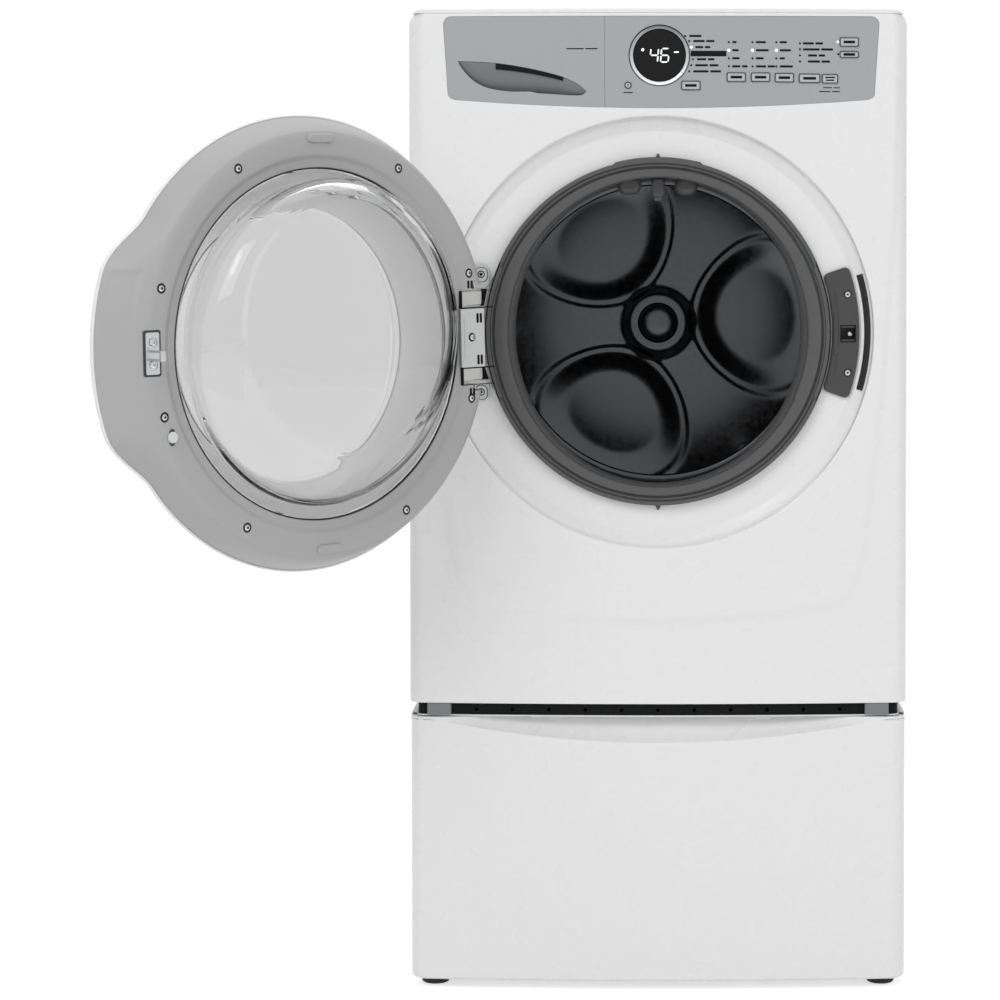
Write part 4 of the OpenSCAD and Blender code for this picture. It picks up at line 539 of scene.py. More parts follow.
def extruded(name, points, d0, d1, bevel=0.0, segments=2):
    """Runs an outline of x and z, in millimetres, from one depth to another."""
    piece = outline(name, [(x * MM, FRONT_Y + d0 * MM, z * MM) for x, z in points])
    bpy.ops.object.mode_set(mode="EDIT")
    bpy.ops.mesh.select_all(action="SELECT")
    bpy.ops.mesh.extrude_region_move(TRANSFORM_OT_translate={"value": (0, (d1 - d0) * MM, 0)})
    bpy.ops.object.mode_set(mode="OBJECT")
    tidy_mesh(piece)
    if bevel:
        round_edges(piece, bevel * MM, segments=segments)
    return piece


def rounded_box(x0, x1, z0, z1, radius, steps=5):
    """Corners of a box with rounded corners, anticlockwise."""
    points = []
    for cx, cz, first in ((x1 - radius, z1 - radius, 0), (x0 + radius, z1 - radius, 90),
                          (x0 + radius, z0 + radius, 180), (x1 - radius, z0 + radius, 270)):
        for i in range(steps + 1):
            a = math.radians(first + 90 * i / steps)
            points.append((cx + radius * math.cos(a), cz + radius * math.sin(a)))
    return points


def disc(x, z, radius, steps=32):
    return [(x + radius * math.cos(math.tau * i / steps), z + radius * math.sin(math.tau * i / steps))
            for i in range(steps)]


def cut(piece, *tools, operation="DIFFERENCE", folded=False):
    """Takes tools away from a piece, or joins them to it, and deletes them.

    folded is for a piece whose wall crosses itself, as the solver would otherwise leave nothing of it.
    """
    for tool in tools:
        use(piece, "BOOLEAN", operation=operation, object=tool, solver="EXACT", use_self=folded)
        bpy.data.objects.remove(tool, do_unlink=True)
    if not piece.data.polygons:
        raise ValueError("nothing is left of " + piece.name + " after its cuts")


def join(name, *pieces):
    """Makes several meshes one piece."""
    start()
    for piece in pieces:
        piece.select_set(True)
    bpy.context.view_layer.objects.active = pieces[0]
    bpy.ops.object.join()
    pieces[0].name = pieces[0].data.name = name
    return pieces[0]


def copied(piece, name, way):
    """A copy with its own mesh, moved by a matrix."""
    made = piece.copy()
    made.data = piece.data.copy()
    made.name = made.data.name = name
    made.data.transform(way)
    bpy.context.scene.collection.objects.link(made)
    return made


def place(piece, body, slot, *nodes, finish=None):
    """Gives a piece its finish, picked by its slot unless one is given, puts it in its body and hides the CAD
    nodes that it stands for.
    """
    use(piece, "WEIGHTED_NORMAL", keep_sharp=True, weight=50)
    piece.data.materials.clear()
    piece.data.materials.append(finish or FINISHES[slot])
    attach(piece, body)
    if nodes:
        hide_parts(*nodes)
    return piece


def face_front(piece, way=-1):
    """Turns an open sheet so that it faces the front, or the back with a way of 1."""
    if sum(f.normal.y * f.area for f in piece.data.polygons) * way < 0:
        piece.data.flip_normals()


def polar_skin(name, spokes, rings, spot, angle=50):
    """A sheet of rings round the porthole's axis; spot gives a corner's radius and depth in millimetres."""
    start()
    bpy.ops.mesh.primitive_circle_add(vertices=spokes, radius=0.1, location=(0, FRONT_Y, PORT_Z),
                                      rotation=(math.pi / 2, 0, 0))
    skin = bpy.context.object
    skin.name = skin.data.name = name
    settle(skin)
    ways = [math.atan2(v.co.z - PORT_Z, v.co.x) for v in skin.data.vertices]
    bpy.ops.object.mode_set(mode="EDIT")
    bpy.ops.mesh.select_all(action="SELECT")
    for ring in range(rings - 1):
        bpy.ops.mesh.extrude_edges_move(TRANSFORM_OT_translate={"value": (0, 0, 0)})
    bpy.ops.object.mode_set(mode="OBJECT")
    for i, way in enumerate(ways):
        for ring in range(rings):
            radius, depth = spot(way, ring)
            skin.data.vertices[ring * spokes + i].co = (
                radius * math.cos(way) * MM, FRONT_Y + depth * MM, PORT_Z + radius * math.sin(way) * MM)
    tidy_mesh(skin, angle=angle)
    return skin


def lofted(name, loops, bevel=0.0, segments=2, angle=32):
    """A closed body through loops of x, depth and height, in millimetres, each with as many corners."""
    piece = outline(name, [(0, 0, 0.001 * i) for i in range(len(loops[0]))])
    bpy.ops.object.mode_set(mode="EDIT")
    bpy.ops.mesh.select_all(action="SELECT")
    for _ in loops[1:]:
        bpy.ops.mesh.extrude_region_move(TRANSFORM_OT_translate={"value": (0, 0, 0)})
    bpy.ops.object.mode_set(mode="OBJECT")
    corners = [corner for loop in loops for corner in loop]
    for vertex, (x, depth, z) in zip(piece.data.vertices, corners):
        vertex.co = (x * MM, FRONT_Y + depth * MM, z * MM)
    tidy_mesh(piece)
    if bevel:
        round_edges(piece, bevel * MM, angle=angle, segments=segments)
    return piece


def upright(name, points, z0, z1, bevel=0.0, segments=2):
    """Runs an outline of x and depth, in millimetres, from one height to another."""
    return lofted(name, [[(x, d, z0) for x, d in points], [(x, d, z1) for x, d in points]], bevel, segments)


def shifted(piece, x, z):
    """Moves a part that was spun round the porthole's axis to another axis, x and z in metres."""
    piece.data.transform(Matrix.Translation((x, 0, z - PORT_Z)))
    return piece


def arc_band(name, r0, r1, a0, a1, d0, d1, bevel=0.0, ease=0.0, steps=24):
    """A plate between two radii and two angles, in millimetres and degrees, its corners rounded by ease."""
    mid = (r0 + r1) / 2
    flat = rounded_box(math.radians(a0) * mid, math.radians(a1) * mid, r0, r1, max(ease, 0.1),
                       steps=5 if ease else 1)
    points = []
    for (s0, q0), (s1, q1) in zip(flat, flat[1:] + flat[:1]):
        count = max(1, round(steps * abs(s1 - s0) / (math.radians(a1 - a0) * mid)))
        for i in range(count):
            a, radius = (s0 + (s1 - s0) * i / count) / mid, q0 + (q1 - q0) * i / count
            points.append((radius * math.cos(a), PORT_UP + radius * math.sin(a)))
    return extruded(name, points, d0, d1, bevel)


SWING = joint("door_swing")


def swing_open(piece):
    """Turns a piece that was drawn on the shut door to where the open door stands."""
    pin = Vector(SWING["pos_m"])
    way = (Matrix.Translation(pin) @ Matrix.Rotation(-math.radians(SWING["range_deg"][1]), 4,
                                                     Vector(SWING["axis"]))
           @ Matrix.Translation(-pin))
    piece.data.transform(way)
    return piece


# ---- the washer's white front ----

EDGE_R = 22 * MM
WRAP = 42 * MM
TOP_CORNER_R = 20 * MM
SHIELD_STEP = 4 * MM
HOLE_R, FLOOR_R, RECESS_R = 238 * MM, 281 * MM, 295 * MM
FLOOR_D, WALL_D = 22.5 * MM, 11 * MM


def smooth(t):
    """An S curve from 0 to 1."""
    t = min(1.0, max(0.0, t))
    return t * t * (3 - 2 * t)


def shield_outline():
    """Right half of the proud shield's edge, from the top down to the middle, in metres."""
    z_side, z_base = WASHER_Z + 229.4 * MM, WASHER_Z + 117.9 * MM
    points = []
    for i in range(24):
        z = PANEL_TOP + 0.03 + (z_side - PANEL_TOP - 0.03) * i / 24
        t = max(0.0, (PANEL_TOP - z) / (PANEL_TOP - z_side))
        points.append((0.326 - 0.045 * t * t, z))
    a, b, c = (0.281, z_side), (0.274, z_base + 0.015), (0.205, z_base + 0.015)
    for i in range(13):
        t = i / 12
        points.append(tuple((1 - t) ** 2 * p + 2 * t * (1 - t) * q + t * t * r for p, q, r in zip(a, b, c)))
    for i in range(1, 11):
        t = 1 - i / 10
        points.append((0.205 * t, z_base + 0.015 * t * t))
    return points


SHIELD = shield_outline()


def set_back(x, z):
    """How far the front stands behind the shield at x, z: a soft step round its edge."""
    x = abs(x)
    if z > PORT_Z - 0.25 and x < 0.24:
        return 0.0
    nearest = 1.0
    for (x0, z0), (x1, z1) in zip(SHIELD, SHIELD[1:]):
        ux, uz = x1 - x0, z1 - z0
        t = min(1.0, max(0.0, ((x - x0) * ux + (z - z0) * uz) / (ux * ux + uz * uz)))
        dx, dz = x - x0 - t * ux, z - z0 - t * uz
        gone = math.hypot(dx, dz)
        if gone < abs(nearest):
            nearest = gone if ux * dz - uz * dx > 0 else -gone
    return SHIELD_STEP * smooth((nearest + 0.003) / 0.014)


def front_point(s, z, half_w=HALF_W, step=set_back):
    """A point of the bowed front at s along its developed width and height z."""
    if z > TOP_Z - TOP_CORNER_R:
        half_w = half_w - TOP_CORNER_R + math.sqrt(
                max(0.0, TOP_CORNER_R ** 2 - (z - TOP_Z + TOP_CORNER_R) ** 2))
    cx = half_w - EDGE_R
    first = math.asin(cx / (BOW_R - EDGE_R))
    tangent = BOW_R * math.sin(first)
    centre_d = BOW_R - (BOW_R - EDGE_R) * math.cos(first)
    roll = EDGE_R * (math.pi / 2 - first)
    side = -1 if s < 0 else 1
    t = abs(s)
    if t <= tangent:
        x, d = t, bow(t)
    elif t <= tangent + roll:
        a = first + (t - tangent) / EDGE_R
        x, d = cx + EDGE_R * math.sin(a), centre_d - EDGE_R * math.cos(a)
    else:
        x, d = half_w, centre_d + t - tangent - roll
    d = min(WRAP, d + step(x, z))
    return side * x, d, z


FRONT_REACH = 0.3628


def front_skin():
    """The pressed front: bowed face, proud shield, rolled sides and porthole recess."""
    spokes = 576
    z_low, z_high = WASHER_Z + 0.0004, PANEL_TOP
    start()
    bpy.ops.mesh.primitive_circle_add(vertices=spokes, radius=HOLE_R, location=(0, FRONT_Y, PORT_Z),
                                      rotation=(math.pi / 2, 0, 0))
    skin = bpy.context.object
    skin.name = skin.data.name = "front_skin"
    settle(skin)
    # where each spoke leaves the developed rectangle of the front
    aims = []
    for vertex in skin.data.vertices:
        a = math.atan2(vertex.co.z - PORT_Z, vertex.co.x)
        reach_x = FRONT_REACH / max(1e-9, abs(math.cos(a)))
        reach_z = ((z_high if math.sin(a) > 0 else 2 * PORT_Z - z_low) - PORT_Z) / max(1e-9,
                abs(math.sin(a)))
        aims.append((math.cos(a), math.sin(a), min(reach_x, reach_z)))
    recess = [(HOLE_R, FLOOR_D + 0.0015), (HOLE_R, FLOOR_D + 0.0006), (HOLE_R + 0.0008, FLOOR_D),
              (HOLE_R + 0.02, FLOOR_D),
              (FLOOR_R - 0.006, FLOOR_D), (FLOOR_R - 0.003, FLOOR_D - 0.0007),
              (FLOOR_R - 0.0005, FLOOR_D - 0.0026),
              (RECESS_R - 0.005, WALL_D + 0.0045), (RECESS_R - 0.0018, WALL_D + 0.0014),
              (RECESS_R - 0.0004, WALL_D - 0.0015)]
    lip = 0.0042
    rings = len(recess) + 7 + 44
    bpy.ops.object.mode_set(mode="EDIT")
    bpy.ops.mesh.select_all(action="SELECT")
    for ring in range(rings - 1):
        bpy.ops.mesh.extrude_edges_move(TRANSFORM_OT_translate={"value": (0, 0, 0)})
    bpy.ops.object.mode_set(mode="OBJECT")
    places = skin.data.vertices
    for i, (cos_a, sin_a, reach) in enumerate(aims):
        for ring in range(rings):
            if ring < len(recess):
                radius, depth = recess[ring]
                places[ring * spokes + i].co = (radius * cos_a, FRONT_Y + depth, PORT_Z + radius * sin_a)
                continue
            step = ring - len(recess)
            if step < 7:
                # the rolled lip, a quarter round that meets the face
                a = math.radians(90 * step / 6)
                radius = RECESS_R + lip * (1 - math.cos(a))
                x, d, z = front_point(radius * cos_a, PORT_Z + radius * sin_a)
                places[ring * spokes + i].co = (x, FRONT_Y + d + lip * (1 - math.sin(a)), z)
                continue
            t = (step - 6) / 44
            start_r = RECESS_R + lip
            radius = start_r + (reach - start_r) * t
            places[ring * spokes + i].co = front_at(radius * cos_a, PORT_Z + radius * sin_a)
    return skin


def front_at(s, z):
    x, d, z = front_point(s, z)
    return x, FRONT_Y + d, z


def console_opening(grow, x0=CONSOLE_X0, x1=CONSOLE_X1):
    """The console's outline, grown by so many millimetres, run through the front."""
    top, low, sag, draft, radius = 1338.4, 1225.6, 13.0, 6.0, 11.0 + grow
    middle, width = (CONSOLE_X0 + CONSOLE_X1) / 2, 597.0
    sag_r = (width * width / 4 + sag * sag) / (2 * sag)
    points = []

    def side(z, end):
        lean = draft * (top - z) / (top - low)
        return (CONSOLE_X1 + grow - lean) if end > 0 else (CONSOLE_X0 - grow + lean)

    def base(x):
        return low - sag + sag_r - math.sqrt((sag_r + grow) ** 2 - (x - middle) ** 2)
    for i in range(9):
        a = math.radians(90 * i / 8)
        points.append((side(top, 1) - radius + radius * math.cos(a),
                       top + grow - radius + radius * math.sin(a)))
    for i in range(9):
        a = math.radians(90 + 90 * i / 8)
        points.append((side(top, -1) + radius + radius * math.cos(a),
                       top + grow - radius + radius * math.sin(a)))
    foot = 9.0 + grow
    left, right = side(low, -1), side(low, 1)
    for i in range(1, 6):
        a = math.radians(180 + 90 * i / 6)
        points.append((left + foot + foot * math.cos(a), base(left) + foot + foot * math.sin(a)))
    for i in range(33):
        x = left + foot + (right - left - 2 * foot) * i / 32
        points.append((x, base(x)))
    for i in range(1, 6):
        a = math.radians(270 + 90 * i / 6)
        points.append((right - foot + foot * math.cos(a), base(right) + foot + foot * math.sin(a)))
    points = [(min(max(x, x0 - grow), x1 + grow), z) for x, z in points]
    return points


def finish_front():
    """Folds the front's edges back, opens the console and places the skin."""
    skin = front_skin()
    start()
    skin.select_set(True)
    bpy.context.view_layer.objects.active = skin
    bpy.ops.object.mode_set(mode="EDIT")
    bpy.ops.mesh.select_all(action="SELECT")
    bpy.ops.mesh.remove_doubles(threshold=0.00002)
    bpy.ops.mesh.normals_make_consistent(inside=False)
    bpy.ops.object.mode_set(mode="OBJECT")
    if sum(f.normal.y * f.area for f in skin.data.polygons) > 0:
        skin.data.flip_normals()
    use(skin, "SOLIDIFY", thickness=0.0012, offset=-1.0)
    tool = extruded("console_cut", console_opening(0.0), -8, 60)
    cut(skin, tool)
    # the lock's window
    cut(skin, extruded("lock_cut", rounded_box(246, 275, 887.9, 923.9, 3), 15, 35))
    round_edges(skin, 0.0007, angle=50, segments=2)
    return place(skin, "cabinet", "white_paint", "front_panel")


finish_front()


# ---- the door, drawn shut and then swung open ----

GRIP_R, GRIP_HALF, SHELL_R = 316.5, 100.0, 290.0


def curve_through(points, steps):
    """A smooth run of points through the given ones."""
    made = []
    for i in range(len(points) - 1):
        p0, p1 = points[max(0, i - 1)], points[i]
        p2, p3 = points[i + 1], points[min(len(points) - 1, i + 2)]
        for k in range(steps):
            t = k / steps
            made.append(tuple(0.5 * (2 * b + (c - a) * t + (2 * a - 5 * b + 4 * c - d) * t * t
                                     + (3 * b - a - 3 * c + d) * t ** 3)
                              for a, b, c, d in zip(p0, p1, p2, p3)))
    made.append(points[-1])
    return made


def eased_reach(degrees):
    """Radius of the door's outline at an angle, with the grip swelling out on the free side."""
    angle = abs((degrees + 180) % 360 - 180)
    return SHELL_R + (GRIP_R - SHELL_R) * smooth((35 - angle) / 17)


LAND = [(222.2, -2.0), (222.2, 7.6), (222.8, 8.8), (224.4, 9.4), (231.5, 10.0), (234.0, 10.6),
        (236.4, 12.2), (238.6, 13.2), (241.2, 13.5), (246, 13.5), (251, 13.5), (256, 13.5), (260, 13.4),
        (264, 13.0), (267.5, 12.0)]
FRAME_SLOPE = 22


def frame_spot(way, ring):
    """Radius and depth of the inner frame: raised ring, bevel to the rim, hollow of the grip."""
    degrees = math.degrees(way)
    reach = eased_reach(degrees) - 2.6
    if ring < len(LAND):
        radius, depth = LAND[ring]
    elif ring < len(LAND) + FRAME_SLOPE:
        t = (ring - len(LAND) + 1) / FRAME_SLOPE
        radius = 267.5 + (reach - 267.5) * t
        # a crowned bevel that steepens towards the rim
        depth = 12.0 - 36.8 * (0.42 * t + 0.58 * t * t)
    else:
        back = ring - len(LAND) - FRAME_SLOPE
        radius, depth = reach - (0.0, 0.4, 1.2)[back], (-26.0, -28.0, -34.0)[back]
    z = radius * math.sin(way)
    if radius > 272 and abs(degrees) < 24:
        # the grip's shallow hollow, eased out at both ends
        depth -= (2.6 * smooth((radius - 279) / 3) * smooth((GRIP_HALF - abs(z)) / 4)
                  * smooth((reach - radius) / 10))
    return radius, depth


def inner_frame():
    """The grey inner frame, with room for the hinge, the strike's pocket and the wells of the screws."""
    frame_piece = polar_skin("door_inner_frame", 480, len(LAND) + FRAME_SLOPE + 3, frame_spot)
    face_front(frame_piece, 1)
    use(frame_piece, "SOLIDIFY", thickness=1.8 * MM, offset=-1.0)
    tools = [extruded("hinge_room", rounded_box(-300, -243.6, PORT_UP - 73, PORT_UP + 67, 3), -40,
                      30),
             extruded("arm_room", rounded_box(-300, -224.6, PORT_UP + 35.8, PORT_UP + 59.4, 1), -40,
                      30),
             extruded("arm_room", rounded_box(-300, -224.6, PORT_UP - 65.4, PORT_UP - 41.8, 1), -40,
                      30),
             extruded("strike_room", rounded_box(244.8, 269.2, PORT_UP - 28, PORT_UP + 28, 3), 11.5,
                      30)]
    for angle in SCREW_ANGLES + (161, -161):
        x, z = 254 * math.cos(math.radians(angle)), 254 * math.sin(math.radians(angle))
        tools.append(extruded("well", disc(x, z + PORT_UP, 6.4, 28), 11.8, 30))
    cut(frame_piece, *tools)
    start()
    frame_piece.select_set(True)
    bpy.context.view_layer.objects.active = frame_piece
    bpy.ops.object.shade_smooth_by_angle(angle=math.radians(38))
    # the two oval pads that meet the cabinet
    pads = [extruded("stop_pad", [(14 * side + 6 * math.cos(a), PORT_UP + z + 6 * math.sin(a))
                                  for side, first in ((1, -90), (-1, 90))
                                  for a in [math.radians(first + 15 * i) for i in range(13)]], 12, 16.6,
                     bevel=2.4, segments=4)
            for z in (259, -259)]
    frame_piece = join("door_inner_frame", frame_piece, *pads)
    swing_open(frame_piece)
    return place(frame_piece, "door", "frame_plastic", "door_frame")


RIM_ROWS = ((2.4, -24.9), (1.2, -24.6), (0.3, -25.4), (0.0, -26.6), (0.1, -29.0), (1.2, -31.6),
            (4.0, -35.4),
            (9.0, -41.0), (17.0, -48.2), (26.0, -55.0))
CROWN_ROWS = ((241, -67.0), (227, -73.6), (214, -77.0), (203, -77.3), (195, -74.6), (189, -69.2),
              (185, -64.6),
              (182, -62.6), (179.6, -61.8), (178.2, -60.8), (178.0, -59.0))


def shell_spot(way, ring):
    """Radius and depth of the outer shell: rim round the frame, sloping side, crown and window's seat."""
    reach = eased_reach(math.degrees(way))
    rows = [(reach - inset, depth) for inset, depth in RIM_ROWS] + list(CROWN_ROWS)
    return curve_through(rows, 2)[ring]


def arm_slot(z):
    """The space that one hinge arm sweeps through the shell, from shut to open."""
    first, last, room, reach = 72.6, 210.5, 7.4, 110.0
    points = []

    def corner(way, aside):
        """The slot's outer corner beside one of its two ends, both directions in degrees."""
        return (PIN_X + reach * math.cos(math.radians(way)) + room * math.cos(math.radians(aside)),
                PIN_D + reach * math.sin(math.radians(way)) + room * math.sin(math.radians(aside)))

    for i in range(9):
        a = math.radians(last + 90 + (first + 270 - last - 90) * i / 8)
        points.append((PIN_X + 10 * math.cos(a), PIN_D + 10 * math.sin(a)))
    points.append(corner(first, first - 90))
    for i in range(13):
        a = math.radians(first + (last - first) * i / 12)
        points.append((PIN_X + reach * math.cos(a), PIN_D + reach * math.sin(a)))
    points.append(corner(last, last + 90))
    return upright("arm_slot", points, PORT_UP + z - 12.5, PORT_UP + z + 12.5)


def outer_shell():
    """The white outer shell with its slots for the hinge's arms."""
    shell = polar_skin("door_outer_shell", 384, 2 * (len(RIM_ROWS) + len(CROWN_ROWS) - 1) + 1, shell_spot,
                       angle=40)
    face_front(shell)
    use(shell, "SOLIDIFY", thickness=1.6 * MM, offset=-1.0)
    cut(shell, arm_slot(48), arm_slot(-54),
        extruded("barrel_room", rounded_box(-282, -262, PORT_UP - 45, PORT_UP + 39, 4), -66, -45),
        folded=True)
    start()
    shell.select_set(True)
    bpy.context.view_layer.objects.active = shell
    bpy.ops.object.shade_smooth_by_angle(angle=math.radians(38))
    return place(swing_open(shell), "door", "white_paint", "door_shell")


def outer_window():
    """The domed outer window, with its rolled edge in the shell's seat."""
    outside = curve_through([(0.05, -67.9), (60, -67.2), (110, -65.4), (150, -63.2), (172, -61.4)], 4)
    rim = [(175.6, -60.8), (177.2, -59.8), (177.4, -58.6), (176.4, -58.0)]
    inside = curve_through([(172, -58.2), (150, -59.9), (110, -62.1), (60, -63.9), (0.05, -64.6)], 4)
    lens = spun("door_outer_window", outside + rim + inside, steps=160)
    return place(swing_open(lens), "door", "window_plastic", "door_window")


SCREW_ANGLES = (60.4, 119.6, 17.75, -17.75, -60.4, -119.6)


def screw(name, radius, height, socket, petals=6):
    """A pan head screw that faces inwards at the origin: crowned, with a star socket."""
    start()
    bpy.ops.mesh.primitive_circle_add(vertices=36, radius=radius, rotation=(math.pi / 2, 0, 0),
                                      fill_type="NGON")
    head = bpy.context.object
    head.name = head.data.name = name
    settle(head)
    bpy.ops.object.mode_set(mode="EDIT")
    bpy.ops.mesh.select_all(action="SELECT")
    crown = ((1.0, 0.45), (0.96, 0.2), (0.84, 0.22), (0.62, 0.13))
    for scale, rise in crown:
        bpy.ops.mesh.extrude_region_move(TRANSFORM_OT_translate={"value": (0, rise * height, 0)})
        bpy.ops.transform.resize(value=(scale, 1, scale), center_override=(0, 0, 0))
    bpy.ops.object.mode_set(mode="OBJECT")
    tidy_mesh(head, angle=45)
    star = []
    for i in range(24):
        a = math.tau * i / 24
        r = socket * (0.82 + 0.18 * math.cos(petals * a))
        star.append((r * math.cos(a), -height * 0.4, r * math.sin(a)))
    tool = outline("socket_cut", star)
    bpy.ops.object.mode_set(mode="EDIT")
    bpy.ops.mesh.select_all(action="SELECT")
    bpy.ops.mesh.extrude_region_move(TRANSFORM_OT_translate={"value": (0, height * 3, 0)})
    bpy.ops.object.mode_set(mode="OBJECT")
    tidy_mesh(tool)
    tool.data.transform(Matrix.Translation((0, height * 0.85, 0)))
    cut(head, tool)
    return head


def move(x, depth, z):
    """Takes a part from the origin to x, depth and height above the porthole, in millimetres."""
    return Matrix.Translation((x * MM, FRONT_Y + depth * MM, PORT_Z + z * MM))


def door_screws():
    """Screws of the frame and the hinge plate; under each frame screw a near-black disc of painted shade fills its
    well, and another its socket.
    """
    head = screw("frame_screw", 3.9 * MM, 2.6 * MM, 2.0 * MM)
    heads = []
    for angle in SCREW_ANGLES + (161, -161):
        x, z = 254 * math.cos(math.radians(angle)), 254 * math.sin(math.radians(angle))
        heads.append(copied(head, "head", move(x, 12.2, z)))
    heads.append(copied(head, "head", move(PLATE_X, 16.3, -2)))
    bpy.data.objects.remove(head, do_unlink=True)
    made = join("door_screw_heads", *heads)
    place(swing_open(made), "door", "bright_steel", "door_screws")
    # painted shade: a near-black disc at the bottom of each well and in each screw's socket
    wells = []
    for angle in SCREW_ANGLES + (161, -161):
        x, z = 254 * math.cos(math.radians(angle)), 254 * math.sin(math.radians(angle))
        well = extruded("well", disc(x, z + PORT_UP, 6.35, 28), 11.3, 12.3, bevel=0.2)
        wells += [well, extruded("socket", disc(x, z + PORT_UP, 1.5, 16), 12.3, 14.3)]
    place(swing_open(join("screw_well_shades", *wells)), "door", "black_rubber")


def strike():
    """The strike: a zinc plate in its pocket, drawn as a dark plate of painted shade round it, two flanged screws
    and the hook for the latch.
    """
    z0 = PORT_UP
    # painted shade: a dark plate round the strike's plate stands for the shade of its pocket
    pocket = extruded("strike_pocket_shade", rounded_box(244.9, 269.1, z0 - 27.9, z0 + 27.9, 3), 11.2, 12.4,
                      bevel=0.2)
    place(swing_open(pocket), "door", "dark_plastic")
    plate = extruded("strike_plate", rounded_box(247.4, 266.6, z0 - 25.4, z0 + 25.4, 2.4), 12.4, 14.6,
                     bevel=0.5)
    dish = [extruded("dish", disc(256.6, z0 + z, 6.6, 28), 13.9, 20) for z in (13.6, -13.5)]
    cut(plate, *dish)
    # a bar bent into a hook: two cheeks and a crossbar
    cheeks = [extruded("cheek", [(256, z0 - 9), (263, z0 - 9), (263, z0 - 6.4), (256, z0 - 6.4)], 14.0, 40,
                       bevel=0.7),
              extruded("cheek", [(256, z0 + 1.4), (263, z0 + 1.4), (263, z0 + 4), (256, z0 + 4)], 14.0, 40,
                       bevel=0.7),
              extruded("bar", [(256, z0 - 9), (263, z0 - 9), (263, z0 + 4), (256, z0 + 4)], 36, 41.4,
                       bevel=1.2)]
    made = join("strike_and_hook", plate, *cheeks)
    place(swing_open(made), "door", "bright_steel", "door_strike")
    head = screw("strike_screw", 5.0 * MM, 2.8 * MM, 2.4 * MM)
    heads = [copied(head, "head", move(256.6, 13.9, z)) for z in (13.6, -13.5)]
    bpy.data.objects.remove(head, do_unlink=True)
    place(swing_open(join("strike_screws", *heads)), "door", "bright_steel")


def bumper():
    """The white bumper in its slot, where the shut door rests."""
    angle = math.radians(-23.8)
    x, z = 253.5 * math.cos(angle), PORT_UP + 253.5 * math.sin(angle)
    slot = extruded("bumper_slot", rounded_box(x - 4, x + 4, z - 10.5, z + 10.5, 3.8), 13.2, 13.75,
                    bevel=0.15)
    place(swing_open(slot), "door", "dark_plastic")
    eight = [(x + 7.4 * math.cos(math.tau * (i + 0.5) / 8), z + 7.4 * math.sin(math.tau * (i + 0.5) / 8))
             for i in range(8)]
    pad = extruded("door_bumper_pad", eight, 13.5, 17.0, bevel=1.5, segments=4)
    place(swing_open(pad), "door", "tub_plastic", "door_bumper")


def glass_bowl():
    """The pressed glass bowl with its flange, and the dark seal that holds it in the frame."""
    outside = curve_through([(204.5, 7.6), (203.6, 16), (200.4, 28), (194.6, 41), (186, 53), (177, 61),
                             (169.4, 65.4),
                             (163, 67.4), (154, 68.6), (110, 71.4), (55, 73.2), (0.05, 73.8)], 4)
    inside = curve_through([(0.05, 69.2), (55, 68.6), (108, 66.8), (151, 64.0), (159.4, 62.9),
                            (165.6, 60.6), (172.6, 56.4),
                            (181.2, 49), (189.4, 38), (195, 26), (197.6, 15.4), (198.2, 3.0)], 4)
    rim = [(199.4, 1.2), (219.4, 1.2), (220.6, 2.4), (220.6, 6.6), (219.2, 8.0), (207, 8.2)]
    bowl = spun("door_glass_bowl", outside + inside + rim, steps=192)
    for vertex in bowl.data.vertices:
        # the bowl is steeper above than below, so that the wash slides off it
        vertex.co.z += 24 * MM * smooth((vertex.co.y - FRONT_Y - 8 * MM) / (60 * MM))
    place(swing_open(bowl), "door", "clear_glass", "door_glass")
    seal = spun("glass_seal", [(220.8, 1.0), (222.15, 1.0), (222.15, 8.6), (221.7, 9.1), (221.2, 9.1),
                               (220.8, 8.6)], steps=180)
    place(swing_open(seal), "door", "black_rubber")
    liner = spun("window_liner", [(221.8, -2.6), (218, -10), (211, -24), (201, -39), (189, -51),
                                  (181, -56.4), (178.4, -57.2),
                                  (178.2, -57.9), (181.4, -58.2), (190, -53), (202.4, -40.6), (212.4, -25),
                                  (219.4, -10.4),
                                  (223.2, -2.6)], steps=180)
    place(swing_open(liner), "door", "window_plastic", finish=window_border())



# ---- the hinge: cabinet bracket, door plate and pins ----

ARM_WAY = math.atan2(78.1, 24.5)


def leaning(piece):
    """Leans a part of the hinge with its axis."""
    pin = Vector(SWING["pos_m"])
    lean = Matrix.Rotation(math.atan2(SWING["axis"][0], SWING["axis"][2]), 4, "Y")
    piece.data.transform(Matrix.Translation(pin) @ lean @ Matrix.Translation(-pin))
    return piece


def arm_outline(eye, neck, foot, length):
    """An arm from its round eye on the pin to its wider foot, in x and depth."""
    ahead = (math.cos(ARM_WAY), math.sin(ARM_WAY))
    aside = (-ahead[1], ahead[0])
    points = []
    for i in range(15):
        a = ARM_WAY + math.radians(52 + (360 - 104) * i / 14)
        points.append((PIN_X + eye * math.cos(a), PIN_D + eye * math.sin(a)))
    for along, half in ((eye + 7, -neck), (length - 14, -neck), (length - 4, -foot), (length, -foot),
                        (length, foot), (length - 4, foot), (length - 14, neck), (eye + 7, neck)):
        points.append((PIN_X + along * ahead[0] + half * aside[0],
                       PIN_D + along * ahead[1] + half * aside[1]))
    return points


def turned(name, x, depth, rows, steps=24):
    """A part turned about an upright axis: rows of radius and height above the porthole, in millimetres."""
    loops = []
    for radius, z in rows:
        loops.append([(x + radius * math.cos(math.tau * i / steps),
                       depth + radius * math.sin(math.tau * i / steps),
                       PORT_UP + z) for i in range(steps)])
    return lofted(name, loops)


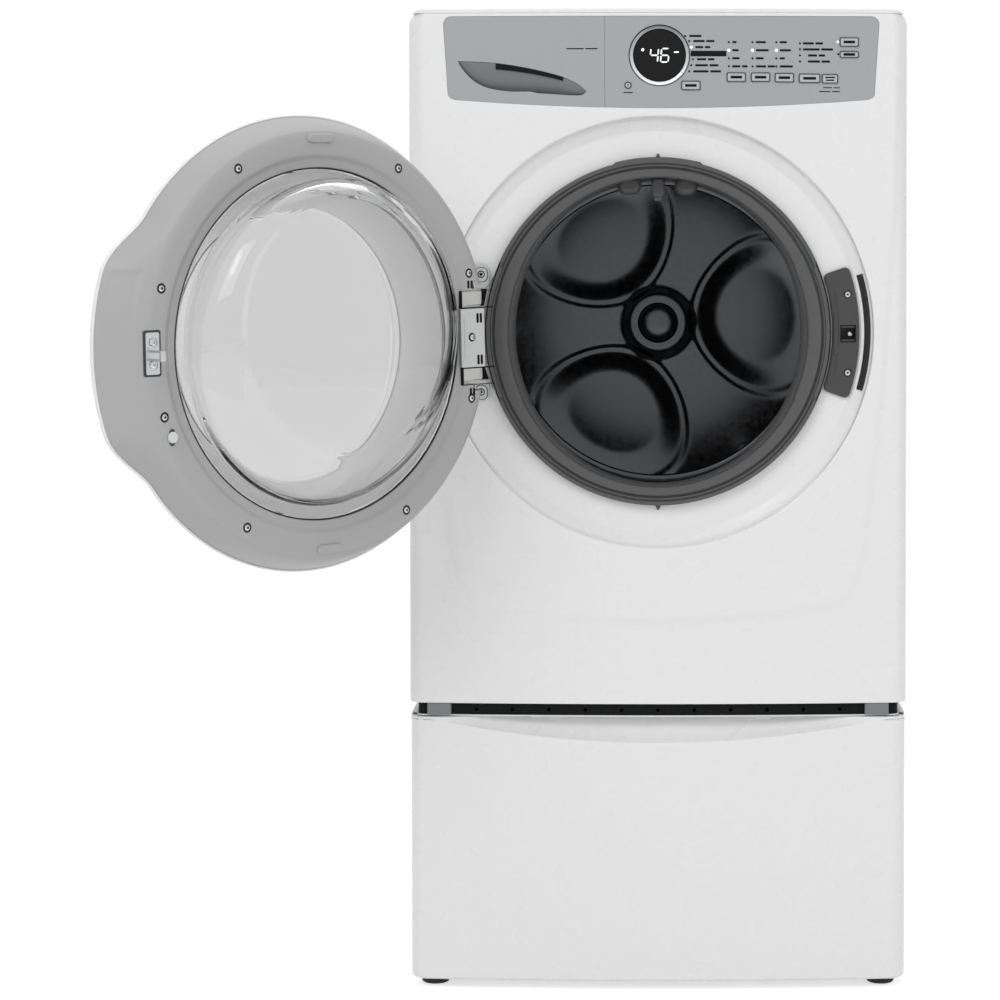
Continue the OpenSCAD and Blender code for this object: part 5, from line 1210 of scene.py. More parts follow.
def bracket():
    """The cabinet's bracket: a plate along the porthole with an ear at each end, and two arms."""
    z0 = PORT_UP
    arms = []
    for z in (48, -54):
        arm = upright("bracket_arm", arm_outline(8.0, 4.6, 7.5, 79.6), z0 + z - 10, z0 + z + 10, bevel=1.2)
        arms.append(leaning(arm))
    plate = arc_band("bracket_plate", 239.6, 278.6, 180 - 18.6, 180 + 19.2, 19.5, 22.4, bevel=0.8, ease=2)
    ears, dark = [], []
    for top, low, screw_z in ((94, 60, 79.6), (-65, -95, -82)):
        ear = extruded("bracket_ear", [(-262, z0 + low), (-238, z0 + low), (-231.6, z0 + low + 6),
                                       (-230.8, z0 + top - 8),
                                       (-236, z0 + top), (-262, z0 + top)], 17.6, 20.4, bevel=1.0,
                       segments=3)
        # the ear's raised boss round its screw
        boss = extruded("ear_boss", rounded_box(-250.6, -234.4, z0 + screw_z - 10, z0 + screw_z + 9, 7),
                        15.6, 18.4, bevel=1.0,
                        segments=3)
        cut(boss, extruded("boss_dish", disc(EAR_X, z0 + screw_z, 5.2, 28), 12, 17.2))
        ears += [ear, boss]
        # painted shade: a dark ring round each boss and a near-black disc in its screw hole
        dark.append(extruded("boss_shadow", rounded_box(-251.4, -233.6, z0 + screw_z - 10.8,
                                                        z0 + screw_z + 9.8, 7.6), 17.0, 17.8,
                             bevel=0.3))
        dark.append(extruded("ear_hole_shade", disc(EAR_X, z0 + screw_z, 2.3, 20), 15.4, 17.2))
    # painted shade: dark plates in the gaps between the arms and the seal
    for gap in (((-243.5, 59.5), (-244.5, 36.5), (-239.0, 36.5), (-234.6, 59.5)),
                ((-244.5, -42.5), (-243, -64.5), (-232, -64.5), (-240, -42.5))):
        dark.append(extruded("arm_gap", [(x, z0 + z) for x, z in gap], 18.9, 19.5, bevel=0.1))
    made = join("hinge_cabinet_bracket", plate, *ears)
    place(made, "cabinet", "cast_metal", "hinge_bracket")
    # painted light: the arms are coloured near white to stand in for the light they lack in the notches
    place(join("hinge_arms", *arms), "cabinet", "cast_metal", finish=FINISHES["painted_light_alloy"])
    place(join("bracket_shadow_gaps", *dark), "cabinet", "dark_plastic", finish=FINISHES["ink_and_painted_shade"])


def door_plate():
    """The plate on the door with its double slots, its curled barrel and the web between them."""
    z0 = PORT_UP
    plate = extruded("hinge_plate", rounded_box(-262.4, -222.4, z0 - 41.6, z0 + 35.6, 2.5), 13.6, 16.4,
                     bevel=0.7)
    cut(plate, extruded("dish", disc(PLATE_X, z0 - 2, 6.0, 28), 15.5, 20))
    # pressed ribs along the plate
    ribs = [extruded("rib", rounded_box(-231, -227, z0 - 30, z0 + 24, 1.9), 15.9, 17.2, bevel=0.6)]
    web = upright("hinge_web", arm_outline(5.8, 4.4, 6.4, 72.0), z0 - 40, z0 + 34, bevel=0.8)
    barrel = turned("hinge_barrel", PIN_X, PIN_D, ((3.2, -42.2), (5.6, -42.2), (5.9, -41.6), (5.9, 35.7),
                                                   (5.6, 36.3), (3.2, 36.3)))
    made = join("hinge_door_plate", plate, *ribs, leaning(web), leaning(barrel))
    place(swing_open(made), "door", "cast_metal", "door_arm")
    # double slots in the frame above and below the plate, drawn as dark plates of painted shade
    marks = [extruded("frame_slot", rounded_box(x - 1.9, x + 1.9, z0 + z - 5.2, z0 + z + 5.2, 1.4), 13.3,
                      13.75, bevel=0.12)
             for x in (-244.1, -238.5) for z in (67.6, -74.2)]
    # painted shade: dark floors of the plate's slots and the arms' notches
    marks += [extruded("slot_floor_shade", rounded_box(x - 2.0, x + 2.0, z0 + z - 6.4, z0 + z + 6.4, 1.2), 15.9,
                       16.65, bevel=0.12)
              for x in (-256.2, -250.6) for z in (23, -32)]
    # painted shade: dark walls of the arms' notches
    for low, high in ((35.9, 37.5), (58.5, 59.3), (-43.5, -41.9), (-65.3, -64.4)):
        marks.append(extruded("notch_wall_shade", [(-281, z0 + low), (-225, z0 + low), (-225, z0 + high),
                                             (-281, z0 + high)], 9, 13.3))
    for low, high in ((37.5, 58.5), (-64.4, -43.5)):
        marks.append(extruded("notch_end_shade", [(-227.4, z0 + low), (-224.8, z0 + low), (-224.8, z0 + high),
                                            (-227.4, z0 + high)], 6, 13.3))
    # painted shade: a dark disc under the plate's screw
    marks.append(extruded("screw_floor_shade", disc(PLATE_X, z0 - 2, 5.9, 28), 15.0, 15.7))
    place(swing_open(join("painted_slot_shades", *marks)), "door", "black_rubber", finish=FINISHES["ink_and_painted_shade"])


def pins():
    """The hinge pin with a domed head at each end."""
    rows = ((0.1, -65.0), (1.6, -64.9), (2.6, -64.4), (2.95, -63.6), (2.95, 57.6), (2.6, 58.4), (1.6, 58.9),
            (0.1, 59.0))
    place(swing_open(leaning(turned("hinge_pin", PIN_X, PIN_D, rows))), "door", "bright_steel",
          "hinge_pins")


def cabinet_screws():
    """Screws of the bracket and the lock, their heads towards the front."""
    head = screw("cabinet_screw", 3.9 * MM, 2.2 * MM, 1.9 * MM)
    head.data.transform(Matrix.Rotation(math.pi, 4, "Z"))
    heads = [copied(head, "head", move(EAR_X, 18.4, z)) for z in (-82, 79.6)]
    heads += [copied(head, "head", move(LOCK_X, 17.5, z)) for z in (LOCK_LOW, LOCK_HIGH)]
    bpy.data.objects.remove(head, do_unlink=True)
    place(join("cabinet_screw_heads", *heads), "cabinet", "bright_steel", "bracket_screws")


bracket()
door_plate()
pins()
cabinet_screws()

# ---- the door seal ----

# Radius, depth and how far each ring is drawn in at the two sides.
SEAL_ROWS = ((237.4, 24.8, 0), (237.8, 14, 0), (237.7, 10.8, 0), (236.9, 9.2, 0), (235.2, 8.4, 0),
             (232.9, 8.4, 0),
             (232.1, 9.2, 0), (231.8, 11.6, 0), (230.2, 11.6, 0), (229.9, 9.0, 0), (229.2, 8.4, 0),
             (228.2, 8.6, 0), (227.4, 9.4, 0),
             (227.0, 14.0, 0), (224.9, 14.0, 0), (224.4, 9.6, 0), (223.2, 8.8, 0),
             (220.3, 8.7, 0.5), (218, 8.3, 1.5), (215.6, 8.4, 3), (213.7, 9.2, 4.5), (212.5, 11, 5.5),
             (212, 14, 6),
             (212, 20, 6), (212.6, 27, 5), (215, 32, 2.5), (219.5, 36.5, 0), (224, 41, 0), (226, 46, 0),
             (224.5, 50.5, 0), (221.4, 53.0, 1.0), (220.6, 54.8, 1.3), (219.4, 55.2, 1.8),
             (218.2, 54.8, 2.4), (214, 58, 8), (211.8, 63, 12.5), (211.4, 69, 13.5),
             (211.6, 76, 12), (212.5, 83, 6), (214, 88, 2), (218, 90.2, 0))


def seal_spot(way, ring):
    """Radius and depth of the seal: two beads, a groove, a fold, and sides drawn in towards the drum."""
    radius, depth, drawn = SEAL_ROWS[ring]
    aside = math.cos(way) ** 2
    radius -= drawn * aside
    degrees = math.degrees(way)
    if ring < 5:
        # the outer edge steps in beside the hinge and the lock, and out at the top
        beside = min(abs(degrees), 180 - abs(degrees))
        radius -= 2.4 * smooth((24.6 - beside) / 1.2)
        if ring > 1:
            radius += 2.6 * smooth((15.2 - abs(degrees - 90)) / 1.0)
    if 19 < ring < 25 and beside_step(degrees):
        radius -= 1.2
    return radius, depth


def beside_step(degrees):
    """Whether an angle lies where the inner lip is thickened beside the hinge and the lock."""
    return min(abs(degrees), 180 - abs(degrees)) < 26


def seal():
    """The bellows seal with its pointers, top lobes and spray nozzle."""
    bellows = polar_skin("seal_bellows", 360, len(SEAL_ROWS), seal_spot, angle=60)
    face_front(bellows)
    use(bellows, "SOLIDIFY", thickness=2.6 * MM, offset=-1.0)
    z0 = PORT_UP
    pointers = [extruded("pointer", [(-5.2, z0 + 236), (5.2, z0 + 236), (1.0, z0 + 245.4),
                                     (-1.0, z0 + 245.4)], 19.4, 22.2,
                         bevel=0.5),
                extruded("pointer", [(5.2, z0 - 236), (-5.2, z0 - 236), (-1.0, z0 - 244.6),
                                     (1.0, z0 - 244.6)], 19.4, 22.2,
                         bevel=0.5)]
    lobes = []
    for x, z, half, height, d0, d1 in ((-40, 205, 17, 15, 57, 86), (39, 204, 16, 15, 57, 86)):
        lobe = extruded("lobe", rounded_box(x - half, x + half, z0 + z - height, z0 + z + 12, 12), d0, d1,
                        bevel=8.5, segments=6)
        lobes.append(lobe)
    stem = extruded("nozzle_stem", rounded_box(-9, 9, z0 + 186, z0 + 213, 6), 54, 82, bevel=3, segments=3)
    mouth = extruded("nozzle_mouth", rounded_box(-5.5, 5.5, z0 + 181, z0 + 190, 2.5), 58, 74, bevel=1.2,
                     segments=2)
    made = join("door_seal", bellows, *pointers, *lobes, stem, mouth)
    place(made, "cabinet", "gasket_rubber", "door_gasket")


seal()


# ---- the door lock and the dark strip beside it ----


def lock():
    """The lock's curved cover with its latch slot, its wells and its rib, and the box behind it."""
    z0 = PORT_UP
    cover = arc_band("lock_cover", 239.4, 276.6, -19.4, 19.2, 16.4, 22.4, bevel=1.8, ease=7, steps=28)
    cut(cover, extruded("latch_cut", rounded_box(250.2, 271.8, z0 - 14, z0 + 10, 1.6), 10, 30),
        *[extruded("dish", disc(LOCK_X, z0 + z, 5.8, 28), 10, 18.0) for z in (LOCK_HIGH, LOCK_LOW)])
    rib = extruded("lock_rib", [(241.2, z0 - 32.5), (247.4, z0 - 28.5), (247.4, z0 + 24), (241.2, z0 + 28)],
                   15.4, 18.4,
                   bevel=0.9, segments=3)
    step = arc_band("lock_step", 248.2, 249.4, -13, 13, 15.7, 17.0, bevel=0.4)
    case = extruded("lock_case", rounded_box(246.4, 274.6, z0 - 17.6, z0 + 17.6, 2), 22.4, 51.6, bevel=1.0)
    cut(case, extruded("latch_room", rounded_box(250.2, 271.8, z0 - 14, z0 + 10, 1.6), 20, 46.5))
    body = extruded("lock_body", rounded_box(243.4, 276.6, z0 - 59.6, z0 + 59.6, 4), 24.4, 51.6, bevel=1.6,
                    segments=3)
    cut(body, extruded("case_room", rounded_box(246.4, 274.6, z0 - 17.6, z0 + 17.6, 2), 20, 56))
    # the latch's frame and its hook in the slot
    frame_bar = [extruded("latch_bar", rounded_box(251.4, 270.6, z0 + z, z0 + z + 3, 0.8), 20.5, 24,
                          bevel=0.4)
                 for z in (-13, 6)]
    made = join("door_lock_cover", cover, rib, step, case, body, *frame_bar)
    place(made, "cabinet", "dark_plastic", "door_lock")
    rings = []
    for z in (LOCK_HIGH, LOCK_LOW):
        ring = extruded("screw_ring", disc(LOCK_X, z0 + z, 5.4, 32), 16.2, 17.9, bevel=0.15)
        rings.append(ring)
    place(join("lock_screw_rings", *rings), "cabinet", "black_rubber")
    hook = extruded("latch_hook", [(262, z0 - 6), (267, z0 - 6), (268.4, z0 - 3), (266, z0), (263, z0 + 1),
                                   (261, z0 - 2)],
                    32, 38, bevel=0.8)
    place(hook, "cabinet", "bright_steel")


def recess_strip():
    """The dark strip pressed on the sloping wall of the recess."""
    rows = [(292.0, 14.2), (291.6, 13.3), (290.2, 12.9), (283.4, 18.0), (283.0, 19.2), (283.6, 20.2),
            (291.6, 15.0)]
    strip = spun("recess_strip", rows, steps=40, angle=32, turn=16)
    place(strip, "cabinet", "black_rubber", "recess_trim")


lock()
recess_strip()

# ---- the drum ----

DRUM_D, DRUM_BACK = 110.0, 522.0
LOBES = (124, 4, 244)


def lobe_rise(x, z):
    """How far a pressed lobe of the back wall stands towards the mouth at x, z."""
    rise = 0.0
    for angle in LOBES:
        a = math.radians(angle)
        cx, cz = 154 * math.cos(a), 154 * math.sin(a)
        along = (x - cx) * math.cos(a) + (z - cz) * math.sin(a)
        across = (z - cz) * math.cos(a) - (x - cx) * math.sin(a)
        # a rounded triangle, wider towards the rim
        reach = math.hypot(along / 102, across / (122 + 0.24 * along))
        bead = 0.16 * math.exp(-((reach - 0.98) / 0.035) ** 2)
        rise = max(rise, smooth((1.06 - reach) / 0.5) + bead)
    return rise


def drum_spot(way, ring):
    """Radius and depth of the drum: rolled mouth, sloping front, wall and pressed back."""
    if ring < len(DRUM_ROWS):
        return DRUM_ROWS[ring]
    radius = 264 - (264 - 26) * (ring - len(DRUM_ROWS) + 1) / DRUM_BACK_RINGS
    x, z = radius * math.cos(way), radius * math.sin(way)
    hub = 6 * smooth((60 - radius) / 20)
    return radius, DRUM_BACK - 16.0 + 9.0 * lobe_rise(x, z) - hub


DRUM_ROWS = [(204.6, 118), (204.2, 114), (205, 111.4), (207, 110.2), (210, 110.4), (240, 110.4),
             (262, 110.6),
             (268, 112.4), (272.4, 116), (275, 121), (275.6, 126)]
DRUM_ROWS += [(275.6, 126 + 386 * i / 12) for i in range(1, 12)]
DRUM_ROWS += [(275.2, 512), (273, 517), (269.5, 518.8)]
DRUM_BACK_RINGS = 54


def drum_body():
    """The stainless drum, seen from inside, with its pressed back wall."""
    wall = polar_skin("drum_wall", 300, len(DRUM_ROWS) + DRUM_BACK_RINGS, drum_spot, angle=55)
    # the back wall faces the mouth, so the sheet's thickness goes outwards
    back = [f.normal.y for f in wall.data.polygons if f.center.y > FRONT_Y + 0.49]
    if sum(back) > 0:
        wall.data.flip_normals()
    use(wall, "SOLIDIFY", thickness=1.0 * MM, offset=-1.0)
    hub = spun("drum_hub", [(0.05, 495), (14, 495.2), (26, 497), (33, 501), (36, 506), (36, 508),
                            (0.05, 508)], steps=72)
    join("drum_body", wall, hub)
    place(wall, "drum", "stainless", "drum")


def baffles():
    """Three lifters: rounded stainless ridges that fall away at both ends."""
    made = []
    for a in (26, 146, 266):
        loops = []
        for along, share in ((0, 0.25), (6, 0.52), (16, 0.78), (34, 0.95), (70, 1.0), (180, 1.0),
                             (300, 1.0), (330, 0.93),
                             (348, 0.7), (353, 0.5)):
            loop = []
            for across, rise in ((-34, 0), (34, 0), (33.4, 3.5), (29, 8.5), (23, 16), (18.6, 27), (15, 37),
                                 (11, 43.5), (5.5, 46.7),
                                 (0, 47.6), (-5.5, 46.7), (-11, 43.5), (-15, 37), (-18.6, 27), (-23, 16),
                                 (-29, 8.5), (-33.4, 3.5)):
                radius = 272.2 - rise * share
                turn = math.radians(90 - a)
                x = radius * math.cos(turn) - across * math.sin(turn)
                z = radius * math.sin(turn) + across * math.cos(turn)
                loop.append((x, DRUM_D + 30.5 + along, PORT_UP + z))
            loops.append(loop)
        ridge = lofted("lifter", loops)
        made.append(ridge)
    place(join("drum_lifters", *made), "drum", "stainless", "drum_baffles")


drum_body()
baffles()

# ---- the console ----

SPLIT = -73.0


def bowed_sheet(name, x0, x1, z0, z1, sunk, thick, columns=72):
    """An upright sheet that follows the bow of the front, some way behind its face, in millimetres."""
    start()
    bpy.ops.mesh.primitive_grid_add(x_subdivisions=columns, y_subdivisions=6, size=1,
                                    rotation=(math.pi / 2, 0, 0))
    sheet = bpy.context.object
    sheet.name = sheet.data.name = name
    settle(sheet)
    for vertex in sheet.data.vertices:
        x = (x0 + (x1 - x0) * (vertex.co.x + 0.5)) * MM
        vertex.co = (x, FRONT_Y + bow(x) + sunk * MM, (z0 + (z1 - z0) * (vertex.co.z + 0.5)) * MM)
    face_front(sheet)
    use(sheet, "SOLIDIFY", thickness=thick * MM, offset=-1.0)
    return sheet


def on_bow(piece, out):
    """Lays a part drawn at the crown's depth on the bowed face, some way out of it, in millimetres."""
    for vertex in piece.data.vertices:
        vertex.co.y += bow(vertex.co.x) - out * MM
    return piece


def console_plate(name, x0, x1, grow):
    """The part of the console's face between two ends."""
    sheet = bowed_sheet(name, -300, 309, 1205, 1342, 0.8, 3.0, columns=96)
    tool = extruded("console_outline", [(min(max(x, x0), x1), z) for x, z in console_opening(grow)], -5, 60)
    use(sheet, "BOOLEAN", operation="INTERSECT", object=tool, solver="EXACT")
    bpy.data.objects.remove(tool, do_unlink=True)
    return sheet


KEYS = (("key_temp", 106.9, 93.2, 26.4, 13.0), ("key_soil", 140.1, 93.2, 26.4, 13.0),
        ("key_spin", 172.6, 93.8, 26.4, 13.0),
        ("key_options", 207.2, 94.6, 29.4, 13.0), ("key_select", 235.2, 95.2, 22.4, 13.0),
        ("key_cycles", 44.9, 104.6, 26.4, 13.0), ("key_start", 261.6, 44.8, 26.4, 13.0),
        ("key_cancel", 261.6, 61.8, 26.4, 9.5))
DISPLAY_X, DISPLAY_Z = 2.0, TOP_Z / MM - 63.5
POWER_X, POWER_Z = -40.9, TOP_Z / MM - 104.3


def fascia():
    """The console's face with its keys' windows and the ring's opening."""
    plate = console_plate("console_fascia", SPLIT + 0.35, 400, -0.3)
    tools = [extruded("display_hole", disc(DISPLAY_X, DISPLAY_Z, 42.1, 96), -5, 20),
             extruded("power_hole", disc(POWER_X, POWER_Z, 5.0, 32), -5, 20)]
    for _, x, drop, width, height in KEYS:
        z = TOP_Z / MM - drop
        tools.append(extruded("key_hole", rounded_box(x - width / 2 - 0.35, x + width / 2 + 0.35,
                                                      z - height / 2 - 0.35,
                                                      z + height / 2 + 0.35, 2.3), -5, 30))
    cut(plate, *tools)
    round_edges(plate, 0.35 * MM, angle=50, segments=2)
    place(plate, "cabinet", "console_plastic", "control_fascia")


def key_caps():
    """Keys with a raised rim round a dished face, each with the short bar that marks it."""
    for name, x, drop, width, height in KEYS:
        z = TOP_Z / MM - drop
        cap = extruded(name + "_cap", rounded_box(x - width / 2, x + width / 2, z - height / 2,
                                                  z + height / 2, 2.0), 0, 17.4)
        face = rounded_box(x - width / 2 + 1.3, x + width / 2 - 1.3, z - height / 2 + 1.3,
                           z + height / 2 - 1.3, 1.2)
        cut(cap, extruded("dish", face, -3, 0.4))
        on_bow(cap, 1.15)
        round_edges(cap, 0.25 * MM, angle=50, segments=2)
        place(cap, name, "key_plastic", name)
        line = [(x - width / 2 + 0.3, z - height / 2 + 0.3), (x + width / 2 - 0.3, z + height / 2 - 0.3)]
        outer = rounded_box(line[0][0], line[1][0], line[0][1], line[1][1], 1.9)
        ring = extruded("key_outline", outer, -0.12, 0.52)
        cut(ring, extruded("inside", rounded_box(line[0][0] + 1.05, line[1][0] - 1.05, line[0][1] + 1.05,
                                                 line[1][1] - 1.05, 1.2),
                           -1, 2))
        bars = []
        lines = 2 if height > 12 and width < 24 else 1
        for row in range(lines):
            half = (0.30 - 0.05 * row) * width
            bz = z + (1.9 - 3.8 * row if lines > 1 else 0)
            tall = 1.0 if lines > 1 else 1.9
            bars.append(extruded("bar", rounded_box(x - half, x + half, bz - tall, bz + tall, 0.6), 0.3,
                                 0.58))
        mark = on_bow(join("marks_" + name, ring, *bars), 1.15)
        place(mark, name, "key_plastic", finish=FINISHES["ink_and_painted_shade"])


def power_key():
    """The round power key with its ring and stroke."""
    head = spun("power_key_cap", [(0.05, -0.2), (3.2, -0.25), (4.1, -0.35), (4.6, -0.1), (4.7, 0.4),
                                  (4.7, 17.6), (0.05, 17.6)],
                steps=48)
    place(shifted(head, POWER_X * MM, POWER_Z * MM), "key_power", "key_plastic", "key_power")
    ring = spun("power_ring", [(3.5, -0.34), (3.7, -0.5), (4.4, -0.5), (4.6, -0.3), (4.6, 0.0), (3.5, 0.0)],
                steps=48)
    stroke = extruded("stroke", rounded_box(-0.5, 0.5, PORT_UP - 1.9, PORT_UP + 1.9, 0.4), -0.5,
                      0.0)
    sign = join("power_sign", ring, stroke)
    place(shifted(sign, POWER_X * MM, POWER_Z * MM), "key_power", "key_plastic",
          finish=FINISHES["ink_and_painted_shade"])
    label = extruded("power_label", rounded_box(POWER_X - 6.5, POWER_X + 6.5, POWER_Z - 10.6, POWER_Z - 9.2,
                                                0.6), 0.0, 0.3)
    place(on_bow(label, -0.65), "cabinet", "console_plastic", finish=FINISHES["ink_and_painted_shade"])


def display():
    """The ring, its black window and the lit digits under it."""
    ring = spun("display_ring", [(35.7, 6), (35.7, 0.2), (36.1, -0.7), (37.0, -1.5), (38.2, -1.85),
                                 (39.3, -1.7), (40.2, -1.0),
                                 (40.8, 0.1), (41.3, 1.0), (41.95, 2.4), (41.95, 11.6), (35.7, 11.6)],
                steps=144)
    place(shifted(ring, DISPLAY_X * MM, DISPLAY_Z * MM), "cabinet", "bright_ring", "display_bezel")
    face = spun("display_glass", [(0.05, 0.1), (20, 0.14), (33, 0.3), (34.8, 0.5), (35.4, 1.1), (35.5, 8.6),
                                  (0.05, 8.6)], steps=128)
    place(shifted(face, DISPLAY_X * MM, DISPLAY_Z * MM), "cabinet", "display_black", "display_window")
    segments = {"a": (0, 1, 0), "b": (0.5, 0.5, 1), "c": (0.5, -0.5, 1), "d": (0, -1, 0),
                "e": (-0.5, -0.5, 1), "f": (-0.5, 0.5, 1),
                "g": (0, 0, 0)}
    lit = []
    for middle, shape in ((-7.2, "bcfg"), (7.4, "acdefg")):
        for part in shape:
            across, up, standing = segments[part]
            cx, cz = DISPLAY_X + middle + across * 10.4, DISPLAY_Z + up * 9.2
            w, h = (0.85, 3.9) if standing else (4.2, 0.85)
            lit.append(extruded("segment", [(cx - w, cz - h + 0.8), (cx - w + 0.8, cz - h),
                                            (cx + w - 0.8, cz - h), (cx + w, cz - h + 0.8),
                                            (cx + w, cz + h - 0.8), (cx + w - 0.8, cz + h),
                                            (cx - w + 0.8, cz + h),
                                            (cx - w, cz + h - 0.8)], -0.05, 0.4))
    lit.append(extruded("unit_bar", rounded_box(DISPLAY_X + 19.5, DISPLAY_X + 26, DISPLAY_Z + 3.4,
                                                DISPLAY_Z + 5.2, 0.8), -0.05, 0.4))
    lit.append(extruded("leaf_mark", disc(DISPLAY_X - 23.6, DISPLAY_Z + 7.6, 2.0, 20), -0.05, 0.4))
    digits = join("display_digits", *lit)
    for vertex in digits.data.vertices:
        # a slight lean to the right
        vertex.co.x += 0.09 * (vertex.co.z - DISPLAY_Z * MM)
    place(digits, "cabinet", "display_black", finish=FINISHES["lit_digits"])


def panel_point(x, drop):
    """A place on the console's face, from the machine's middle and its top edge, in millimetres."""
    return x, TOP_Z / MM - drop


# Programmes beside the display: lamp, how far below the top edge, end of its bar, and whether it is lit.
PROGRAMMES = ((37.1, 37.1, 59.2, False), (42.6, 44.0, 77.0, False), (45.4, 52.3, 71.5, True),
              (47.7, 68.8, 77.0, False), (45.4, 77.0, 82.5, False), (42.6, 85.3, 86.0, False))
# Lamp columns over the temperature, soil and spin keys, with the ends of their four bars.
COLUMNS = ((96.7, (107.3, 110.0, 111.4, 122.4)), (129.0, (147.2, 151.3, 144.4, 159.6)),
           (161.6, (176.1, 181.6, 173.3, 184.3)))
COLUMN_TOP, COLUMN_PITCH = 45.4, 11.0
OPTIONS_X, OPTIONS_TOP, OPTIONS_PITCH = 194.0, 46.8, 8.25
OPTION_BARS = ((198.1, 225.6), (198.1, 239.3), (205.0, 228.3), (205.0, 235.2))


def lamps_and_marks():
    """The small lamps beside the programmes and options, and the short bars that stand for their names."""
    dark, lit, bars = [], [], []

    def dot(x, drop, group, radius=1.5):
        group.append(extruded("lamp", disc(*panel_point(x, drop), radius, 20), -0.12, 0.5, bevel=0.12))

    def bar(x0, x1, drop, tall=3.0):
        # two dashes, a longer and a shorter, for a name of two words
        z = panel_point(x0, drop)[1]
        ends = ((x0, x1),) if x1 - x0 < 20 else ((x0, x0 + 0.58 * (x1 - x0) - 1.1),
                                                 (x0 + 0.58 * (x1 - x0) + 1.1, x1))
        for first, last in ends:
            bars.append(extruded("bar", rounded_box(first, last, z - tall / 2, z + tall / 2, 0.7, steps=2),
                                 -0.06, 0.4))

    for x, drop, end, is_lit in PROGRAMMES:
        dot(x, drop, lit if is_lit else dark, 1.9 if is_lit else 1.5)
        bar(x + 5.5, end, drop)
    (x0, z0), (x1, z1) = panel_point(44.7, 64.9), panel_point(93.5, 57.2)
    bars.append(extruded("chosen", rounded_box(x0, x1, z0, z1, 0.8, steps=2), -0.06, 0.4))
    for x, ends in COLUMNS:
        for row, end in enumerate(ends):
            drop, is_lit = COLUMN_TOP + COLUMN_PITCH * row, row == 1
            dot(x, drop, lit if is_lit else dark, 2.0 if is_lit else 1.5)
            bar(x + 4.7, end, drop)
    for row, (first, end) in enumerate(OPTION_BARS):
        dot(OPTIONS_X, OPTIONS_TOP + OPTIONS_PITCH * row, dark)
        bar(first, end, OPTIONS_TOP + OPTIONS_PITCH * row)
    dot(245.8, 44.6, lit, 1.6)
    dot(246.5, 61.4, dark)
    for first, drop in ((225.6, 107.3), (220.1, 112.5)):
        bar(first, 249.0, drop, tall=1.4)
    # the dispenser's own small mark
    bar(-125.2, -82.5, 54.3, tall=1.6)
    for made, name, ink in ((dark, "unlit_lamps", "ink_and_painted_shade"), (bars, "printed_bars", "ink_and_painted_shade"),
                            (lit, "lit_lamps", "lit_digits")):
        place(on_bow(join(name, *made), -0.75), "cabinet", "console_plastic", finish=FINISHES[ink])


# The finger scoop's edges: share of the way from its tip to its end, and millimetres below the top edge.
SCOOP_TIP, SCOOP_END = -274.3, -97.7
SLOT_X0, SLOT_X1 = -225.6, -126.6
SCOOP_TOP = curve_through([(0.0, 70.7), (0.28, 73.2), (0.55, 80.6), (0.8, 91.6), (0.93, 102.1),
                           (1.0, 112.2)], 10)
SCOOP_LOW = curve_through([(0.0, 71.5), (0.05, 84.6), (0.13, 98.3), (0.24, 107.8), (0.42, 112.8),
                           (0.7, 115.8),
                           (0.9, 118.0), (0.97, 117.2), (1.0, 113.3)], 10)


def scoop_reach(t):
    """Upper and lower edge of the dispenser's finger scoop at t from its tip to its end."""
    def along(points):
        for (t0, v0), (t1, v1) in zip(points, points[1:]):
            if t <= t1:
                return v0 + (v1 - v0) * (t - t0) / max(t1 - t0, 1e-9)
        return points[-1][1]
    return along(SCOOP_TOP), along(SCOOP_LOW)


def scoop_hollow(x):
    """Share of the scoop's full depth at x: nothing at its two ends."""
    along = (x - SCOOP_TIP + 1.4) / (SCOOP_END - SCOOP_TIP + 3.6)
    return math.sin(math.pi * min(1.0, max(0.0, along))) ** 0.6


